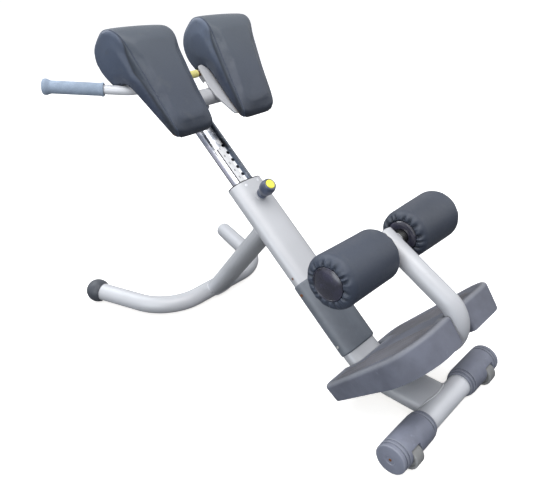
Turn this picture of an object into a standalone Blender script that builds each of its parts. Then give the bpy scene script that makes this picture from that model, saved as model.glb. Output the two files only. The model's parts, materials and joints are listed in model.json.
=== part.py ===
"""Hyperextension bench (45 degree back extension), built as separate pieces.

Metres, +Z up. +Y points from the foot end towards the hip pads, X is across the bench.
The origin is the middle of the footprint, on the floor.
The bench leans back, so most pieces hang on one of two empties behind the front bar: there,
local Y runs up the slope, local Z stands off it, and X is still across the bench. The main
tube, the post and what is on them follow the tube's own slope, which is a little flatter than
the slope of the pads, the rollers and the footplate.
"""
import math

import bmesh
import bpy
from mathutils import Matrix, Vector

# Overall layout
BAR_Y = -0.5337              # axis of the front foot bar
INCLINE = math.radians(41.5)  # slope of the pads, the rollers and the footplate
KNEE_BEHIND_BAR = 0.2332     # where that slope starts
TUBE_INCLINE = math.radians(39.85)  # slope of the main tube and the post
TUBE_KNEE_BEHIND_BAR = 0.2009  # where the tube's sloped and level axes would meet
BASE_Z = 0.036               # height of the level run's axis
GAP = 0.0003                 # between meshes that touch
OVAL_POWER = 2.4             # superellipse power of the oval tubes

# Main tube and telescopic post, oval in section
TUBE_WIDE = 0.0585           # half width across the bench
TUBE_THICK = 0.0285          # half thickness
TUBE_WALL = 0.003
TUBE_TOP = 0.6155            # end of the tube, along it from the knee
KNEE_RADIUS = 0.20
POST_WIDE = 0.035
POST_THICK = 0.020
POST_WALL = 0.0025
POST_BOTTOM = 0.3246
POST_TOP = 0.9046
HOLE_PITCH = 0.0250
HOLE_RADIUS = 0.0045
HOLES_ABOVE = 7              # holes above the one at the pin
HOLES_BELOW = 4
PIN_ALONG = 0.5656           # the pull pin's axis, along the tube
PIN_RADIUS = 0.004
BUSH_LENGTH = 0.060
RIM = 0.003

# Front foot
BAR_RADIUS = 0.030
BAR_HALF = 0.150
BAR_WALL = 0.003
SLEEVE_RADIUS = 0.039
SLEEVE_INNER = 0.089
SLEEVE_OUTER = 0.238
WHEEL_RADIUS = 0.027
WHEEL_WIDTH = 0.025
WHEEL_X = 0.186
WHEEL_AHEAD = 0.021          # wheel axle in front of the bar's axis
WHEEL_Z = 0.029
WHEEL_AXLE = 0.004

# Rear foot
REAR_RADIUS = 0.027
REAR_Z = 0.0365
REAR_BEHIND_BAR = 0.810
REAR_CORNER_X = 0.199
REAR_END_X = 0.285
REAR_END_BEHIND_BAR = 1.079
REAR_BEND = 0.150
ROUND_WALL = 0.0025          # wall of the rear foot and the roller arm
BALL_RADIUS = 0.0365
HEEL_OUT = 0.0082             # heel under the far plug, past the tube's end
STRUT_WIDE = 0.055
STRUT_THICK = 0.0245

# Footplate, a moulded shell square to the main tube
PLATE_ALONG = 0.018
PLATE_SKIN = 0.004
PLATE_HALF = 0.199
PLATE_FRONT_HALF = 0.170
PLATE_BACK = 0.357           # rear edge, off the tube's axis
SKIRT_DEPTH = 0.068          # at the rear edge
SKIRT_TAPER = 0.07           # the skirt gets shallower towards the tube
SKIRT_DRAFT = 0.010
TUBE_NOTCH = 0.0605          # end of the notch for the main tube
ARM_NOTCH = 0.0295
RIB_PITCH = 0.024
RIB_FIRST = 0.045            # middle of the ribs next to the bench's middle plane
RIBS_A_SIDE = 6

# Roller arm and rollers
ARM_RADIUS = 0.0255
ARM_LOW = -0.042             # lower run, along the tube
ARM_CORNER = 0.373
ARM_TOP = (0.250, 0.3235)
ARM_BEND = 0.065
AXLE_RADIUS = 0.0125
AXLE_HALF = 0.2175
ROLLER_ALONG = 0.223
ROLLER_RADIUS = 0.0633
AXLE_SHIFT = -0.018          # the axle sits off centre in the arm
ROLLER_INNER = 0.0480
ROLLER_OUTER = 0.2305
CORE_RADIUS = 0.0165
DISC_RADIUS = 0.034

# Hip pads and what carries them
PAD_UNDERSIDE = 0.0932
PLATE_TOP = 0.0835           # steel plate under each pad
PLATE_BOTTOM = 0.0785
CROSS_RADIUS = 0.0235
CROSS_HALF = 0.125
CROSS_ALONG = 0.857
HANDLE_RADIUS = 0.012
HANDLE_ALONG = 0.922
HANDLE_OFF = 0.064
HANDLE_CORNER_X = 0.196
GRIP_RADIUS = 0.0165
GRIP_LENGTH = 0.148
GRIP_END = (0.355, 1.031, 0.710)  # x, behind the bar, height

# Shin cover
COVER_LOW = 0.0710
COVER_HIGH = 0.2955
COVER_WIDE = 0.0640
COVER_THICK = 0.034
COVER_WALL = 0.003

PARTS = "hyperextension_bench"
CUTTERS = "cutters"


def clear_scene():
    """Remove what the scene holds, and make the two collections."""
    for old in list(bpy.data.objects):
        bpy.data.objects.remove(old, do_unlink=True)
    for name in (PARTS, CUTTERS):
        collection = bpy.data.collections.get(name) or bpy.data.collections.new(name)
        if collection.name not in bpy.context.scene.collection.children:
            bpy.context.scene.collection.children.link(collection)


def material(name, colour, roughness, metallic=0.0):
    """A Principled BSDF with the finish of one kind of piece."""
    made = bpy.data.materials.new(name)
    made.use_nodes = True
    shader = made.node_tree.nodes["Principled BSDF"]
    shader.inputs["Base Color"].default_value = (*colour, 1.0)
    shader.inputs["Roughness"].default_value = roughness
    shader.inputs["Metallic"].default_value = metallic
    return made


def finish(obj, look, parent=None, smooth=35.0):
    """Put a piece in the parts collection with its material, parent and shading."""
    for collection in list(obj.users_collection):
        collection.objects.unlink(obj)
    bpy.data.collections[PARTS].objects.link(obj)
    obj.parent = parent
    obj.data.materials.clear()
    obj.data.materials.append(look)
    if obj.type == "MESH" and smooth:
        obj.data.shade_smooth()
        obj.data.set_sharp_from_angle(angle=math.radians(smooth))
    return obj


def as_cutter(obj, parent=None):
    """Keep an object only to cut others with."""
    for collection in list(obj.users_collection):
        collection.objects.unlink(obj)
    bpy.data.collections[CUTTERS].objects.link(obj)
    obj.parent = parent
    obj.hide_render = True
    obj.display_type = "WIRE"
    return obj


def boolean(obj, other, operation="DIFFERENCE"):
    """Cut or join with the exact solver."""
    modifier = obj.modifiers.new(operation.lower(), "BOOLEAN")
    modifier.operation = operation
    modifier.solver = "EXACT"
    modifier.object = other
    return obj


def new_mesh(name, bm):
    """An object from a bmesh, with its faces pointing out."""
    bmesh.ops.recalc_face_normals(bm, faces=bm.faces)
    mesh = bpy.data.meshes.new(name)
    bm.to_mesh(mesh)
    bm.free()
    obj = bpy.data.objects.new(name, mesh)
    bpy.context.scene.collection.objects.link(obj)
    return obj


def empty(name, location, parent=None, tilt=0.0):
    """An empty that carries other pieces; tilt turns it about X."""
    obj = bpy.data.objects.new(name, None)
    bpy.context.scene.collection.objects.link(obj)
    obj.location = location
    obj.rotation_euler = (tilt, 0.0, 0.0)
    obj.parent = parent
    obj.empty_display_size = 0.05
    return obj


def block(name, low, high, bevel=0.0, segments=1):
    """A box between two corners, with its edges rounded if asked."""
    bm = bmesh.new()
    bmesh.ops.create_cube(bm, size=1.0)
    size = Vector(high) - Vector(low)
    bmesh.ops.scale(bm, vec=size, verts=bm.verts)
    obj = new_mesh(name, bm)
    obj.location = (Vector(low) + Vector(high)) / 2
    if bevel:
        rounding = obj.modifiers.new("bevel", "BEVEL")
        rounding.width = bevel
        rounding.segments = segments
    return obj


def rod(name, radius, start, end, segments=24):
    """A plain cylinder from one point to another."""
    start, end = Vector(start), Vector(end)
    bm = bmesh.new()
    bmesh.ops.create_cone(bm, cap_ends=True, segments=segments, radius1=radius, radius2=radius,
                          depth=(end - start).length)
    obj = new_mesh(name, bm)
    obj.location = (start + end) / 2
    obj.rotation_euler = (end - start).to_track_quat("Z", "Y").to_euler()
    return obj


def turned(name, profile, segments=32):
    """A profile of (radius, height) turned about Z. It runs down its outer side; a closed ring
    repeats its first point, and a solid starts and ends on the axis."""
    closed = profile[0] == profile[-1]
    points = profile[:-1] if closed else profile
    count = len(points)
    edges = [(i, i + 1) for i in range(count - 1)]
    if closed:
        edges.append((count - 1, 0))
    mesh = bpy.data.meshes.new(name)
    mesh.from_pydata([(radius, 0.0, height) for radius, height in points], edges, [])
    obj = bpy.data.objects.new(name, mesh)
    bpy.context.scene.collection.objects.link(obj)
    screw = obj.modifiers.new("screw", "SCREW")
    screw.steps = segments
    screw.render_steps = segments
    screw.use_merge_vertices = True
    screw.merge_threshold = 0.00001
    return obj


def along_x(obj, x, y, z, side=1):
    """Lay a turned piece on its side: its top faces out, to +X or, for side -1, to -X."""
    obj.location = (x, y, z)
    obj.rotation_euler = (0.0, side * math.pi / 2, 0.0)
    return obj


def oval_points(half_x, half_y, count=32, power=OVAL_POWER):
    """Points round a superellipse."""
    points = []
    for i in range(count):
        angle = 2 * math.pi * (i + 0.5) / count
        c, s = math.cos(angle), math.sin(angle)
        x = math.copysign(abs(c) ** (2 / power), c) * half_x
        y = math.copysign(abs(s) ** (2 / power), s) * half_y
        points.append((x, y))
    return points


def prism(name, points, low, high):
    """An outline in X and Z, drawn out along local Y from low to high."""
    bm = bmesh.new()
    ring = [bm.verts.new((x, low, z)) for x, z in points]
    face = bm.faces.new(ring)
    moved = bmesh.ops.extrude_face_region(bm, geom=[face])["geom"]
    tops = [part for part in moved if isinstance(part, bmesh.types.BMVert)]
    bmesh.ops.translate(bm, vec=(0.0, high - low, 0.0), verts=tops)
    return new_mesh(name, bm)


def plate(name, points, low, high):
    """An outline in X and Y, drawn up along Z from low to high."""
    bm = bmesh.new()
    ring = [bm.verts.new((x, y, low)) for x, y in points]
    face = bm.faces.new(ring)
    moved = bmesh.ops.extrude_face_region(bm, geom=[face])["geom"]
    tops = [part for part in moved if isinstance(part, bmesh.types.BMVert)]
    bmesh.ops.translate(bm, vec=(0.0, 0.0, high - low), verts=tops)
    return new_mesh(name, bm)


def rounded(corners, closed=True, step=18.0):
    """A path through corners, each a point with a radius, with an arc of that radius at each."""
    count = len(corners)
    path = []
    for i, (corner, radius) in enumerate(corners):
        corner = Vector(corner)
        if not closed and i in (0, count - 1):
            path.append(corner)
            continue
        before = (Vector(corners[i - 1][0]) - corner).normalized()
        after = (Vector(corners[(i + 1) % count][0]) - corner).normalized()
        half = before.angle(after) / 2
        if radius <= 0.0:
            path.append(corner)
            continue
        centre = corner + (before + after).normalized() * radius / math.sin(half)
        start = corner + before * radius / math.tan(half) - centre
        turn = math.pi - 2 * half
        steps = max(2, math.ceil(math.degrees(turn) / step))
        for k in range(steps + 1):
            angle = turn * k / steps
            path.append(centre + start * math.cos(angle) - before * radius * math.sin(angle))
    return path


def pipe(name, path, radius, resolution=4):
    """A round tube or bar along a path, as a closed mesh."""
    curve = bpy.data.curves.new(name, "CURVE")
    curve.dimensions = "3D"
    curve.bevel_depth = radius
    curve.bevel_resolution = resolution
    curve.use_fill_caps = True
    return curve_mesh(name, curve, path)


def oval_pipe(name, path, half_wide, half_thick, count=32):
    """An oval tube along a path in the bench's middle plane, as a closed solid mesh."""
    section = bpy.data.curves.new(name + "_section", "CURVE")
    section.dimensions = "2D"
    ring = section.splines.new("POLY")
    points = oval_points(half_wide, half_thick, count)
    ring.points.add(len(points) - 1)
    for point, (x, y) in zip(ring.points, points):
        point.co = (x, y, 0.0, 1.0)
    ring.use_cyclic_u = True
    holder = bpy.data.objects.new(name + "_section", section)
    bpy.context.scene.collection.objects.link(holder)
    curve = bpy.data.curves.new(name, "CURVE")
    curve.dimensions = "3D"
    curve.twist_mode = "Z_UP"
    curve.bevel_mode = "OBJECT"
    curve.bevel_object = holder
    curve.use_fill_caps = True
    obj = curve_mesh(name, curve, path)
    bpy.data.objects.remove(holder, do_unlink=True)
    return obj


def curve_mesh(name, curve, path):
    """Turn a bevelled curve along a path into a mesh object with its caps welded."""
    spline = curve.splines.new("POLY")
    spline.points.add(len(path) - 1)
    for point, place in zip(spline.points, path):
        point.co = (*place, 1.0)
    holder = bpy.data.objects.new(name + "_path", curve)
    bpy.context.scene.collection.objects.link(holder)
    evaluated = holder.evaluated_get(bpy.context.evaluated_depsgraph_get())
    mesh = bpy.data.meshes.new_from_object(evaluated)
    bm = bmesh.new()
    bm.from_mesh(mesh)
    bmesh.ops.remove_doubles(bm, verts=bm.verts, dist=0.00002)
    obj = new_mesh(name, bm)
    obj.matrix_world = holder.matrix_world
    bpy.data.objects.remove(holder, do_unlink=True)
    return obj


def several(name, objects):
    """Join separate cylinders or blocks into one object."""
    bm = bmesh.new()
    for obj in objects:
        bpy.context.view_layer.update()
        evaluated = obj.evaluated_get(bpy.context.evaluated_depsgraph_get())
        mesh = evaluated.to_mesh()
        mesh.transform(obj.matrix_local)
        bm.from_mesh(mesh)
        evaluated.to_mesh_clear()
        bpy.data.objects.remove(obj, do_unlink=True)
    return new_mesh(name, bm)


def main_tube_solid(name, grow, over=0.0):
    """The main tube's outer form, grown all round, from the front bar's axis to its top."""
    top = Vector((0.0, math.cos(TUBE_INCLINE), math.sin(TUBE_INCLINE))) * (TUBE_TOP + over)
    knee = Vector((0.0, BAR_Y + TUBE_KNEE_BEHIND_BAR, BASE_Z))
    front = Vector((0.0, BAR_Y - over, BASE_Z))
    path = rounded([(front, 0.0), (knee, KNEE_RADIUS), (knee + top, 0.0)], closed=False, step=7.0)
    return oval_pipe(name, path, TUBE_WIDE + grow, TUBE_THICK + grow)


def build_main_tube(looks):
    """Hollow oval tube: level over the front bar, then up to the post's bushing."""
    tube = main_tube_solid("main_tube", 0.0)
    bore = as_cutter(main_tube_solid("main_tube_bore", -TUBE_WALL, over=0.02))
    bar = as_cutter(rod("bar_mouth", BAR_RADIUS + GAP, (-0.08, BAR_Y, SLEEVE_RADIUS),
                        (0.08, BAR_Y, SLEEVE_RADIUS), 40))
    boolean(tube, bore)
    boolean(tube, bar)
    return finish(tube, looks["paint"])


def build_front_foot(looks):
    """Round bar across the floor, with a moulded foot and a transport wheel at each end."""
    outer = rod("front_foot_bar", BAR_RADIUS, (-BAR_HALF, BAR_Y, SLEEVE_RADIUS),
                (BAR_HALF, BAR_Y, SLEEVE_RADIUS), 40)
    inner = as_cutter(rod("bar_bore", BAR_RADIUS - BAR_WALL, (-0.2, BAR_Y, SLEEVE_RADIUS),
                          (0.2, BAR_Y, SLEEVE_RADIUS), 32))
    finish(boolean(outer, inner), looks["paint"])
    for side, word in ((-1, "left"), (1, "right")):
        build_foot_sleeve(word, side, looks)


def build_foot_sleeve(word, side, looks):
    """Moulded end foot with grip rings, an end screw and a pocket for the wheel."""
    span = SLEEVE_OUTER - SLEEVE_INNER
    socket = BAR_HALF + GAP - SLEEVE_INNER
    bore = BAR_RADIUS + GAP
    r = SLEEVE_RADIUS
    profile = [(0.0, span - 0.001), (0.010, span - 0.001), (0.011, span), (r - 0.0035, span),
               (r - 0.001, span - 0.003), (r - 0.001, span - 0.010), (r - 0.0025, span - 0.011),
               (r - 0.0025, span - 0.013), (r - 0.0005, span - 0.014), (r - 0.0005, span - 0.019),
               (r - 0.002, span - 0.020), (r - 0.002, span - 0.022), (r, span - 0.024),
               (r, 0.010), (r - 0.0015, 0.008), (r - 0.0015, 0.005), (r - 0.004, 0.0045),
               (r - 0.004, 0.0), (bore, 0.0), (bore, socket), (0.0, socket)]
    sleeve = turned("foot_sleeve_" + word, profile, 32)
    along_x(sleeve, side * SLEEVE_INNER, BAR_Y, SLEEVE_RADIUS, side)
    wheel_y = BAR_Y - WHEEL_AHEAD
    near = side * (WHEEL_X - WHEEL_WIDTH / 2 - 0.001)
    far = side * (WHEEL_X + WHEEL_WIDTH / 2 + 0.001)
    pocket = rod("wheel_pocket_" + word, WHEEL_RADIUS + 0.0015, (near, wheel_y, WHEEL_Z),
                 (far, wheel_y, WHEEL_Z), 32)
    axle_ends = (side * (WHEEL_X - 0.021), side * (WHEEL_X + 0.021))
    axle_hole = rod("axle_hole_" + word, WHEEL_AXLE + GAP, (axle_ends[0] - side * GAP, wheel_y, WHEEL_Z),
                    (axle_ends[1] + side * GAP, wheel_y, WHEEL_Z), 16)
    boolean(sleeve, as_cutter(pocket))
    boolean(sleeve, as_cutter(axle_hole))
    finish(sleeve, looks["moulding"])
    axle = rod("wheel_axle_" + word, WHEEL_AXLE, (axle_ends[0], wheel_y, WHEEL_Z),
               (axle_ends[1], wheel_y, WHEEL_Z), 16)
    finish(axle, looks["steel"])
    half = WHEEL_WIDTH / 2
    tread = [(WHEEL_AXLE + 0.0003, half - 0.001), (0.012, half - 0.001), (0.013, half - 0.003),
             (0.021, half - 0.003), (0.022, half), (WHEEL_RADIUS - 0.002, half),
             (WHEEL_RADIUS, half - 0.002), (WHEEL_RADIUS, 0.002 - half),
             (WHEEL_RADIUS - 0.002, -half), (0.022, -half), (0.021, 0.003 - half),
             (0.013, 0.003 - half), (0.012, 0.001 - half), (WHEEL_AXLE + 0.0003, 0.001 - half),
             (WHEEL_AXLE + 0.0003, half - 0.001)]
    wheel = turned("wheel_" + word, tread, 28)
    along_x(wheel, side * WHEEL_X, wheel_y, WHEEL_Z, side)
    finish(wheel, looks["wheel"])
    start = side * (SLEEVE_OUTER - 0.001 + GAP)
    screw = rod("sleeve_screw_" + word, 0.0045, (start, BAR_Y, SLEEVE_RADIUS),
                (start + side * 0.002, BAR_Y, SLEEVE_RADIUS), 14)
    finish(screw, looks["steel"])


def rear_foot_path():
    """The rear foot in plan: straight under the strut, then two arms splayed to the back."""
    y = BAR_Y + REAR_BEHIND_BAR
    end = Vector((REAR_END_X, BAR_Y + REAR_END_BEHIND_BAR, REAR_Z))
    corner = Vector((REAR_CORNER_X, y, REAR_Z))
    flip = Vector((-1.0, 1.0, 1.0))
    corners = [(end * flip, 0.0), (corner * flip, REAR_BEND), (corner, REAR_BEND), (end, 0.0)]
    return rounded(corners, closed=False, step=9.0)


def stretched(path, extra):
    """A path with both of its ends moved outwards."""
    first = path[0] + (path[0] - path[1]).normalized() * extra
    last = path[-1] + (path[-1] - path[-2]).normalized() * extra
    return [first] + list(path[1:-1]) + [last]


def build_rear_foot(looks):
    """Bent round tube on the floor with a ball foot at one end and a flush plug at the other."""
    path = rear_foot_path()
    foot = pipe("rear_foot_tube", path, REAR_RADIUS, 4)
    bore = pipe("rear_foot_bore", stretched(path, 0.01), REAR_RADIUS - ROUND_WALL, 3)
    boolean(foot, as_cutter(bore))
    finish(foot, looks["paint"])
    for word, end, before in (("left", path[0], path[1]), ("right", path[-1], path[-2])):
        out = (end - before).normalized()
        turn = out.to_track_quat("Z", "Y").to_euler()
        if word == "left":
            ball = turned("rear_foot_ball_left", ball_profile(), 24)
            finish(ball, looks["cap"])
            ball.location = end
            ball.rotation_euler = turn
        else:
            plug = turned("rear_foot_plug_right", [(0.0, 0.0150), (0.012, 0.0145), (0.020, 0.0120),
                                                   (0.0255, 0.0065), (REAR_RADIUS, 0.0),
                                                   (0.0, 0.0)], 24)
            finish(plug, looks["paint"])
            plug.location = end + out * GAP
            plug.rotation_euler = turn
            heel = rod("plug_heel", 0.006, end + out * HEEL_OUT - Vector((0.0, 0.0, REAR_Z)),
                       end + out * HEEL_OUT, 14)
            boolean(plug, as_cutter(heel), "UNION")


def ball_profile():
    """A ball foot with a socket for the tube's end, cut a little short of the tube's side."""
    socket = REAR_RADIUS + GAP
    low = -0.022
    start = math.asin(low / BALL_RADIUS)
    arc = []
    steps = 10
    for i in range(steps + 1):
        angle = math.pi / 2 + (start - math.pi / 2) * i / steps
        arc.append((BALL_RADIUS * math.cos(angle), BALL_RADIUS * math.sin(angle)))
    arc[0] = (0.0, BALL_RADIUS)
    return arc + [(socket, low), (socket, GAP), (0.0, GAP)]


def build_rear_strut(looks):
    """Oval strut from the main tube's underside down to the rear foot."""
    start = Vector((0.0, BAR_Y + 0.572, 0.340))
    end = Vector((0.0, BAR_Y + REAR_BEHIND_BAR - 0.004, 0.034))
    strut = oval_pipe("rear_strut", [start, end], STRUT_WIDE, STRUT_THICK, 28)
    bore = oval_pipe("strut_bore", stretched([start, end], 0.01), STRUT_WIDE - TUBE_WALL,
                     STRUT_THICK - TUBE_WALL, 24)
    boolean(strut, as_cutter(bore))
    boolean(strut, as_cutter(main_tube_solid("strut_top_mouth", GAP)))
    foot = pipe("strut_foot_mouth", rear_foot_path(), REAR_RADIUS + GAP, 4)
    boolean(strut, as_cutter(foot))
    finish(strut, looks["paint"])


def build_bushing(line, looks):
    """Plastic guide in the tube's top, with a rim over its edge and two small screws."""
    outer = oval_points(TUBE_WIDE - TUBE_WALL - GAP, TUBE_THICK - TUBE_WALL - GAP)
    bush = prism("top_bushing", outer, TUBE_TOP - BUSH_LENGTH, TUBE_TOP + GAP + RIM / 2)
    rim = as_cutter(prism("bushing_rim", oval_points(TUBE_WIDE, TUBE_THICK),
                          TUBE_TOP + GAP, TUBE_TOP + GAP + RIM), line)
    hole = as_cutter(prism("bushing_bore", oval_points(POST_WIDE + GAP, POST_THICK + GAP, 28),
                           TUBE_TOP - 0.1, TUBE_TOP + 0.1), line)
    pin_way = as_cutter(rod("pin_way", PIN_RADIUS + 0.0006, (0.0, PIN_ALONG, POST_THICK - 0.003),
                            (0.0, PIN_ALONG, 0.05), 16), line)
    boolean(bush, rim, "UNION")
    boolean(bush, hole)
    boolean(bush, pin_way)
    finish(bush, looks["black"], line)
    boolean(bpy.data.objects["main_tube"], pin_way)
    seat = as_cutter(main_tube_solid("screw_seat", GAP))
    for word, x in (("left", -0.024), ("right", 0.024)):
        screw = rod("bushing_screw_" + word, 0.0038, (x, TUBE_TOP - 0.007, 0.0225),
                    (x, TUBE_TOP - 0.007, 0.0278), 12)
        finish(boolean(screw, seat), looks["steel"], line)


def build_plunger(line, looks):
    """Spring pull pin: a welded nut, a threaded body, and the pin, knob and cap that pull."""
    nut = rod("plunger_nut", 0.0132, (0.0, PIN_ALONG, 0.018), (0.0, PIN_ALONG, 0.0386), 24)
    boolean(nut, as_cutter(main_tube_solid("nut_seat", GAP)))
    boolean(nut, as_cutter(rod("nut_bore", 0.0113, (0.0, PIN_ALONG, 0.010),
                               (0.0, PIN_ALONG, 0.06), 20), line))
    finish(nut, looks["paint"], line)
    base = TUBE_THICK + 2 * GAP
    body = turned("plunger_body", [(0.0098, 0.0520), (0.0110, 0.0510), (0.0110, base),
                                   (PIN_RADIUS + GAP, base), (PIN_RADIUS + GAP, 0.0325),
                                   (0.0085, 0.0325), (0.0085, 0.0520), (0.0098, 0.0520)], 20)
    body.location = (0.0, PIN_ALONG, 0.0)
    finish(body, looks["dark_steel"], line)
    axis = empty("plunger_slide", (0.0, PIN_ALONG, 0.0), line)
    tip = POST_THICK + GAP
    pin = turned("plunger_pin", [(0.0, 0.0800), (PIN_RADIUS, 0.0800), (PIN_RADIUS, 0.0375),
                                 (0.0080, 0.0375), (0.0080, 0.0335), (PIN_RADIUS, 0.0335),
                                 (PIN_RADIUS, tip + 0.0015), (PIN_RADIUS - 0.0015, tip),
                                 (0.0, tip)], 20)
    finish(pin, looks["steel"], axis)
    knob = turned("plunger_knob", knob_profile(), 24)
    finish(knob, looks["black_knob"], axis)
    cap = turned("plunger_knob_cap", [(0.0, 0.0932), (0.0090, 0.0927), (0.0122, 0.0915),
                                      (0.0134, 0.0897), (0.0134, 0.0863), (0.0, 0.0863)], 28)
    finish(cap, looks["yellow"], axis)


def knob_profile():
    """Barrel knob with a recess for its cap and a bore for the pin and the threaded body."""
    bore = PIN_RADIUS + GAP
    skirt = 0.0113
    return [(0.0137, 0.0900), (0.0170, 0.0895), (0.0195, 0.0865), (0.0211, 0.0800),
            (0.0215, 0.0710), (0.0208, 0.0620), (0.0185, 0.0545), (0.0160, 0.0512),
            (0.0155, 0.0480), (0.0155, 0.0400), (0.0145, 0.0393), (skirt, 0.0393),
            (skirt, 0.0655), (bore, 0.0655), (bore, 0.0803), (0.0070, 0.0803),
            (0.0070, 0.0860), (0.0137, 0.0860), (0.0137, 0.0900)]


def build_shin_cover(line, looks):
    """Moulded cover over the tube's upper face, held by two screws on each side."""
    ring = [point for point in oval_points(COVER_WIDE, COVER_THICK, 48) if point[1] > 0.0]
    bottom = -0.006
    outline = [(COVER_WIDE, bottom)] + ring + [(-COVER_WIDE, bottom)]
    cover = prism("shin_cover", outline, COVER_LOW, COVER_HIGH)
    rounding = cover.modifiers.new("bevel", "BEVEL")
    rounding.width = 0.005
    rounding.segments = 2
    rounding.limit_method = "ANGLE"
    rounding.angle_limit = math.radians(60)
    hollow = oval_points(COVER_WIDE - COVER_WALL, COVER_THICK - COVER_WALL, 40)
    boolean(cover, as_cutter(prism("cover_hollow", hollow, COVER_LOW + COVER_WALL,
                                   COVER_HIGH - COVER_WALL), line))
    boolean(cover, as_cutter(main_tube_solid("cover_seat", GAP)))
    finish(cover, looks["moulding"], line)
    for height, along in (("low", 0.101), ("high", 0.266)):
        for word, side in (("left", -1), ("right", 1)):
            screw = rod("cover_screw_%s_%s" % (height, word), 0.0045,
                        (side * (COVER_WIDE + GAP), along, 0.002),
                        (side * (COVER_WIDE + 0.002), along, 0.002), 14)
            finish(screw, looks["steel"], line)


def tube_notch_half():
    """Half the width of the footplate's notch for the main tube."""
    return TUBE_WIDE + 0.0045


def footplate_outline(inset=0.0, draft=0.0):
    """The footplate seen square on: x across, y off the tube. It is notched for the roller arm
    at the back and for the main tube at the front; inset moves every edge inwards."""
    tube_half = tube_notch_half()
    notch_top = PLATE_BACK - draft - 0.028
    half = [((ARM_NOTCH, notch_top), 0.012), ((ARM_NOTCH, PLATE_BACK - draft), 0.006),
            ((PLATE_HALF - draft / 2, PLATE_BACK - draft), 0.055),
            ((PLATE_FRONT_HALF - draft / 2, 0.0), 0.030), ((tube_half, 0.0), 0.006),
            ((tube_half, TUBE_NOTCH), 0.012)]
    right = [((x, y, 0.0), radius) for (x, y), radius in half]
    left = [((-x, y, 0.0), radius) for (x, y), radius in reversed(half)]
    path = rounded(right + left, closed=True, step=16.0)
    return [(p.x, p.y) for p in inset_outline(path, inset)]


def inset_outline(path, distance):
    """Move each point of a clockwise outline inwards, along the mean of its two edges' normals."""
    count = len(path)
    moved = []
    for i, point in enumerate(path):
        before = (point - path[i - 1]).normalized()
        after = (path[(i + 1) % count] - point).normalized()
        normal = Vector((before.y + after.y, -before.x - after.x, 0.0)).normalized()
        reach = distance / max(0.5, normal.dot(Vector((after.y, -after.x, 0.0))))
        moved.append(point + normal * reach)
    return moved


def skirt_edge(off):
    """How far along the tube the skirt's lower edge lies, at a distance off the tube."""
    return PLATE_ALONG - SKIRT_DEPTH + (PLATE_BACK - off) * SKIRT_TAPER


def loft(name, rings):
    """Join rings of equally many points into a closed solid."""
    bm = bmesh.new()
    levels = [[bm.verts.new(point) for point in ring] for ring in rings]
    count = len(levels[0])
    for low, high in zip(levels, levels[1:]):
        for i in range(count):
            j = (i + 1) % count
            bm.faces.new((low[i], low[j], high[j], high[i]))
    bm.faces.new(levels[0])
    bm.faces.new(levels[-1])
    return new_mesh(name, bm)


def build_footplate(incline, looks):
    """Moulded footplate: a ribbed standing face with a deep tapered skirt, open underneath."""
    top = footplate_outline()
    shoulder = footplate_outline(0.0015)
    foot = footplate_outline(draft=SKIRT_DRAFT)
    shell = loft("footplate", [
        [(x, PLATE_ALONG, z) for x, z in shoulder],
        [(x, PLATE_ALONG - 0.0015, z) for x, z in top],
        [(x, skirt_edge(z), z) for x, z in foot]])
    inner_top = footplate_outline(PLATE_SKIN)
    inner_foot = footplate_outline(PLATE_SKIN, draft=SKIRT_DRAFT)
    hollow = loft("footplate_hollow", [
        [(x, PLATE_ALONG - PLATE_SKIN, z) for x, z in inner_top],
        [(x, skirt_edge(z) - 0.004, z) for x, z in inner_foot]])
    boolean(shell, as_cutter(hollow, incline))
    boolean(shell, as_cutter(pipe("arm_passage", arm_path(), ARM_RADIUS + 0.002, 4), incline))
    boolean(shell, as_cutter(main_tube_solid("tube_passage", 0.0015)))
    ribs = []
    for k in range(RIBS_A_SIDE):
        middle = RIB_FIRST + k * RIB_PITCH
        start = TUBE_NOTCH + 0.015 if middle < tube_notch_half() + 0.005 else 0.035
        end = PLATE_BACK - 0.024 - max(0.0, middle - 0.120) * 0.75
        for side in (-1, 1):
            ribs.append(block("rib", (side * middle - 0.0022, PLATE_ALONG - 0.001, start),
                              (side * middle + 0.0022, PLATE_ALONG + 0.0016, end)))
    boolean(shell, as_cutter(several("footplate_ribs", ribs), incline), "UNION")
    finish(shell, looks["moulding"], incline, smooth=30.0)


def arm_path():
    """The roller arm: out from the base under the footplate, then up to the rollers."""
    corners = [((0.0, ARM_LOW, 0.040), 0.0), ((0.0, ARM_LOW, ARM_CORNER), ARM_BEND),
               ((0.0, *ARM_TOP), 0.0)]
    return rounded(corners, closed=False, step=9.0)


def build_roller_arm(incline, looks):
    """Round arm welded on the base, with its end plug, the axle and the footplate's bracket."""
    arm = pipe("roller_arm", arm_path(), ARM_RADIUS, 4)
    boolean(arm, as_cutter(main_tube_solid("arm_seat", GAP)))
    off = arm_axis_off(ROLLER_ALONG)
    boolean(arm, as_cutter(rod("axle_way", AXLE_RADIUS + GAP, (-0.04, ROLLER_ALONG, off),
                               (0.04, ROLLER_ALONG, off), 20), incline))
    bore = pipe("arm_bore", stretched(arm_path(), 0.01), ARM_RADIUS - ROUND_WALL, 3)
    boolean(arm, as_cutter(bore, incline))
    finish(arm, looks["paint"], incline)
    path = arm_path()
    out = (path[-1] - path[-2]).normalized()
    plug = turned("roller_arm_plug", [(0.0, 0.0045), (0.018, 0.0040), (0.0235, 0.0022),
                                      (ARM_RADIUS, 0.0), (0.0, 0.0)], 20)
    plug.location = path[-1] + out * GAP
    plug.rotation_euler = out.to_track_quat("Z", "Y").to_euler()
    finish(plug, looks["paint"], incline)
    axle = rod("roller_axle", AXLE_RADIUS, (AXLE_SHIFT - AXLE_HALF, ROLLER_ALONG, off),
               (AXLE_SHIFT + AXLE_HALF, ROLLER_ALONG, off), 20)
    finish(axle, looks["steel"], incline)
    build_plate_bracket(incline, looks)


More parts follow.
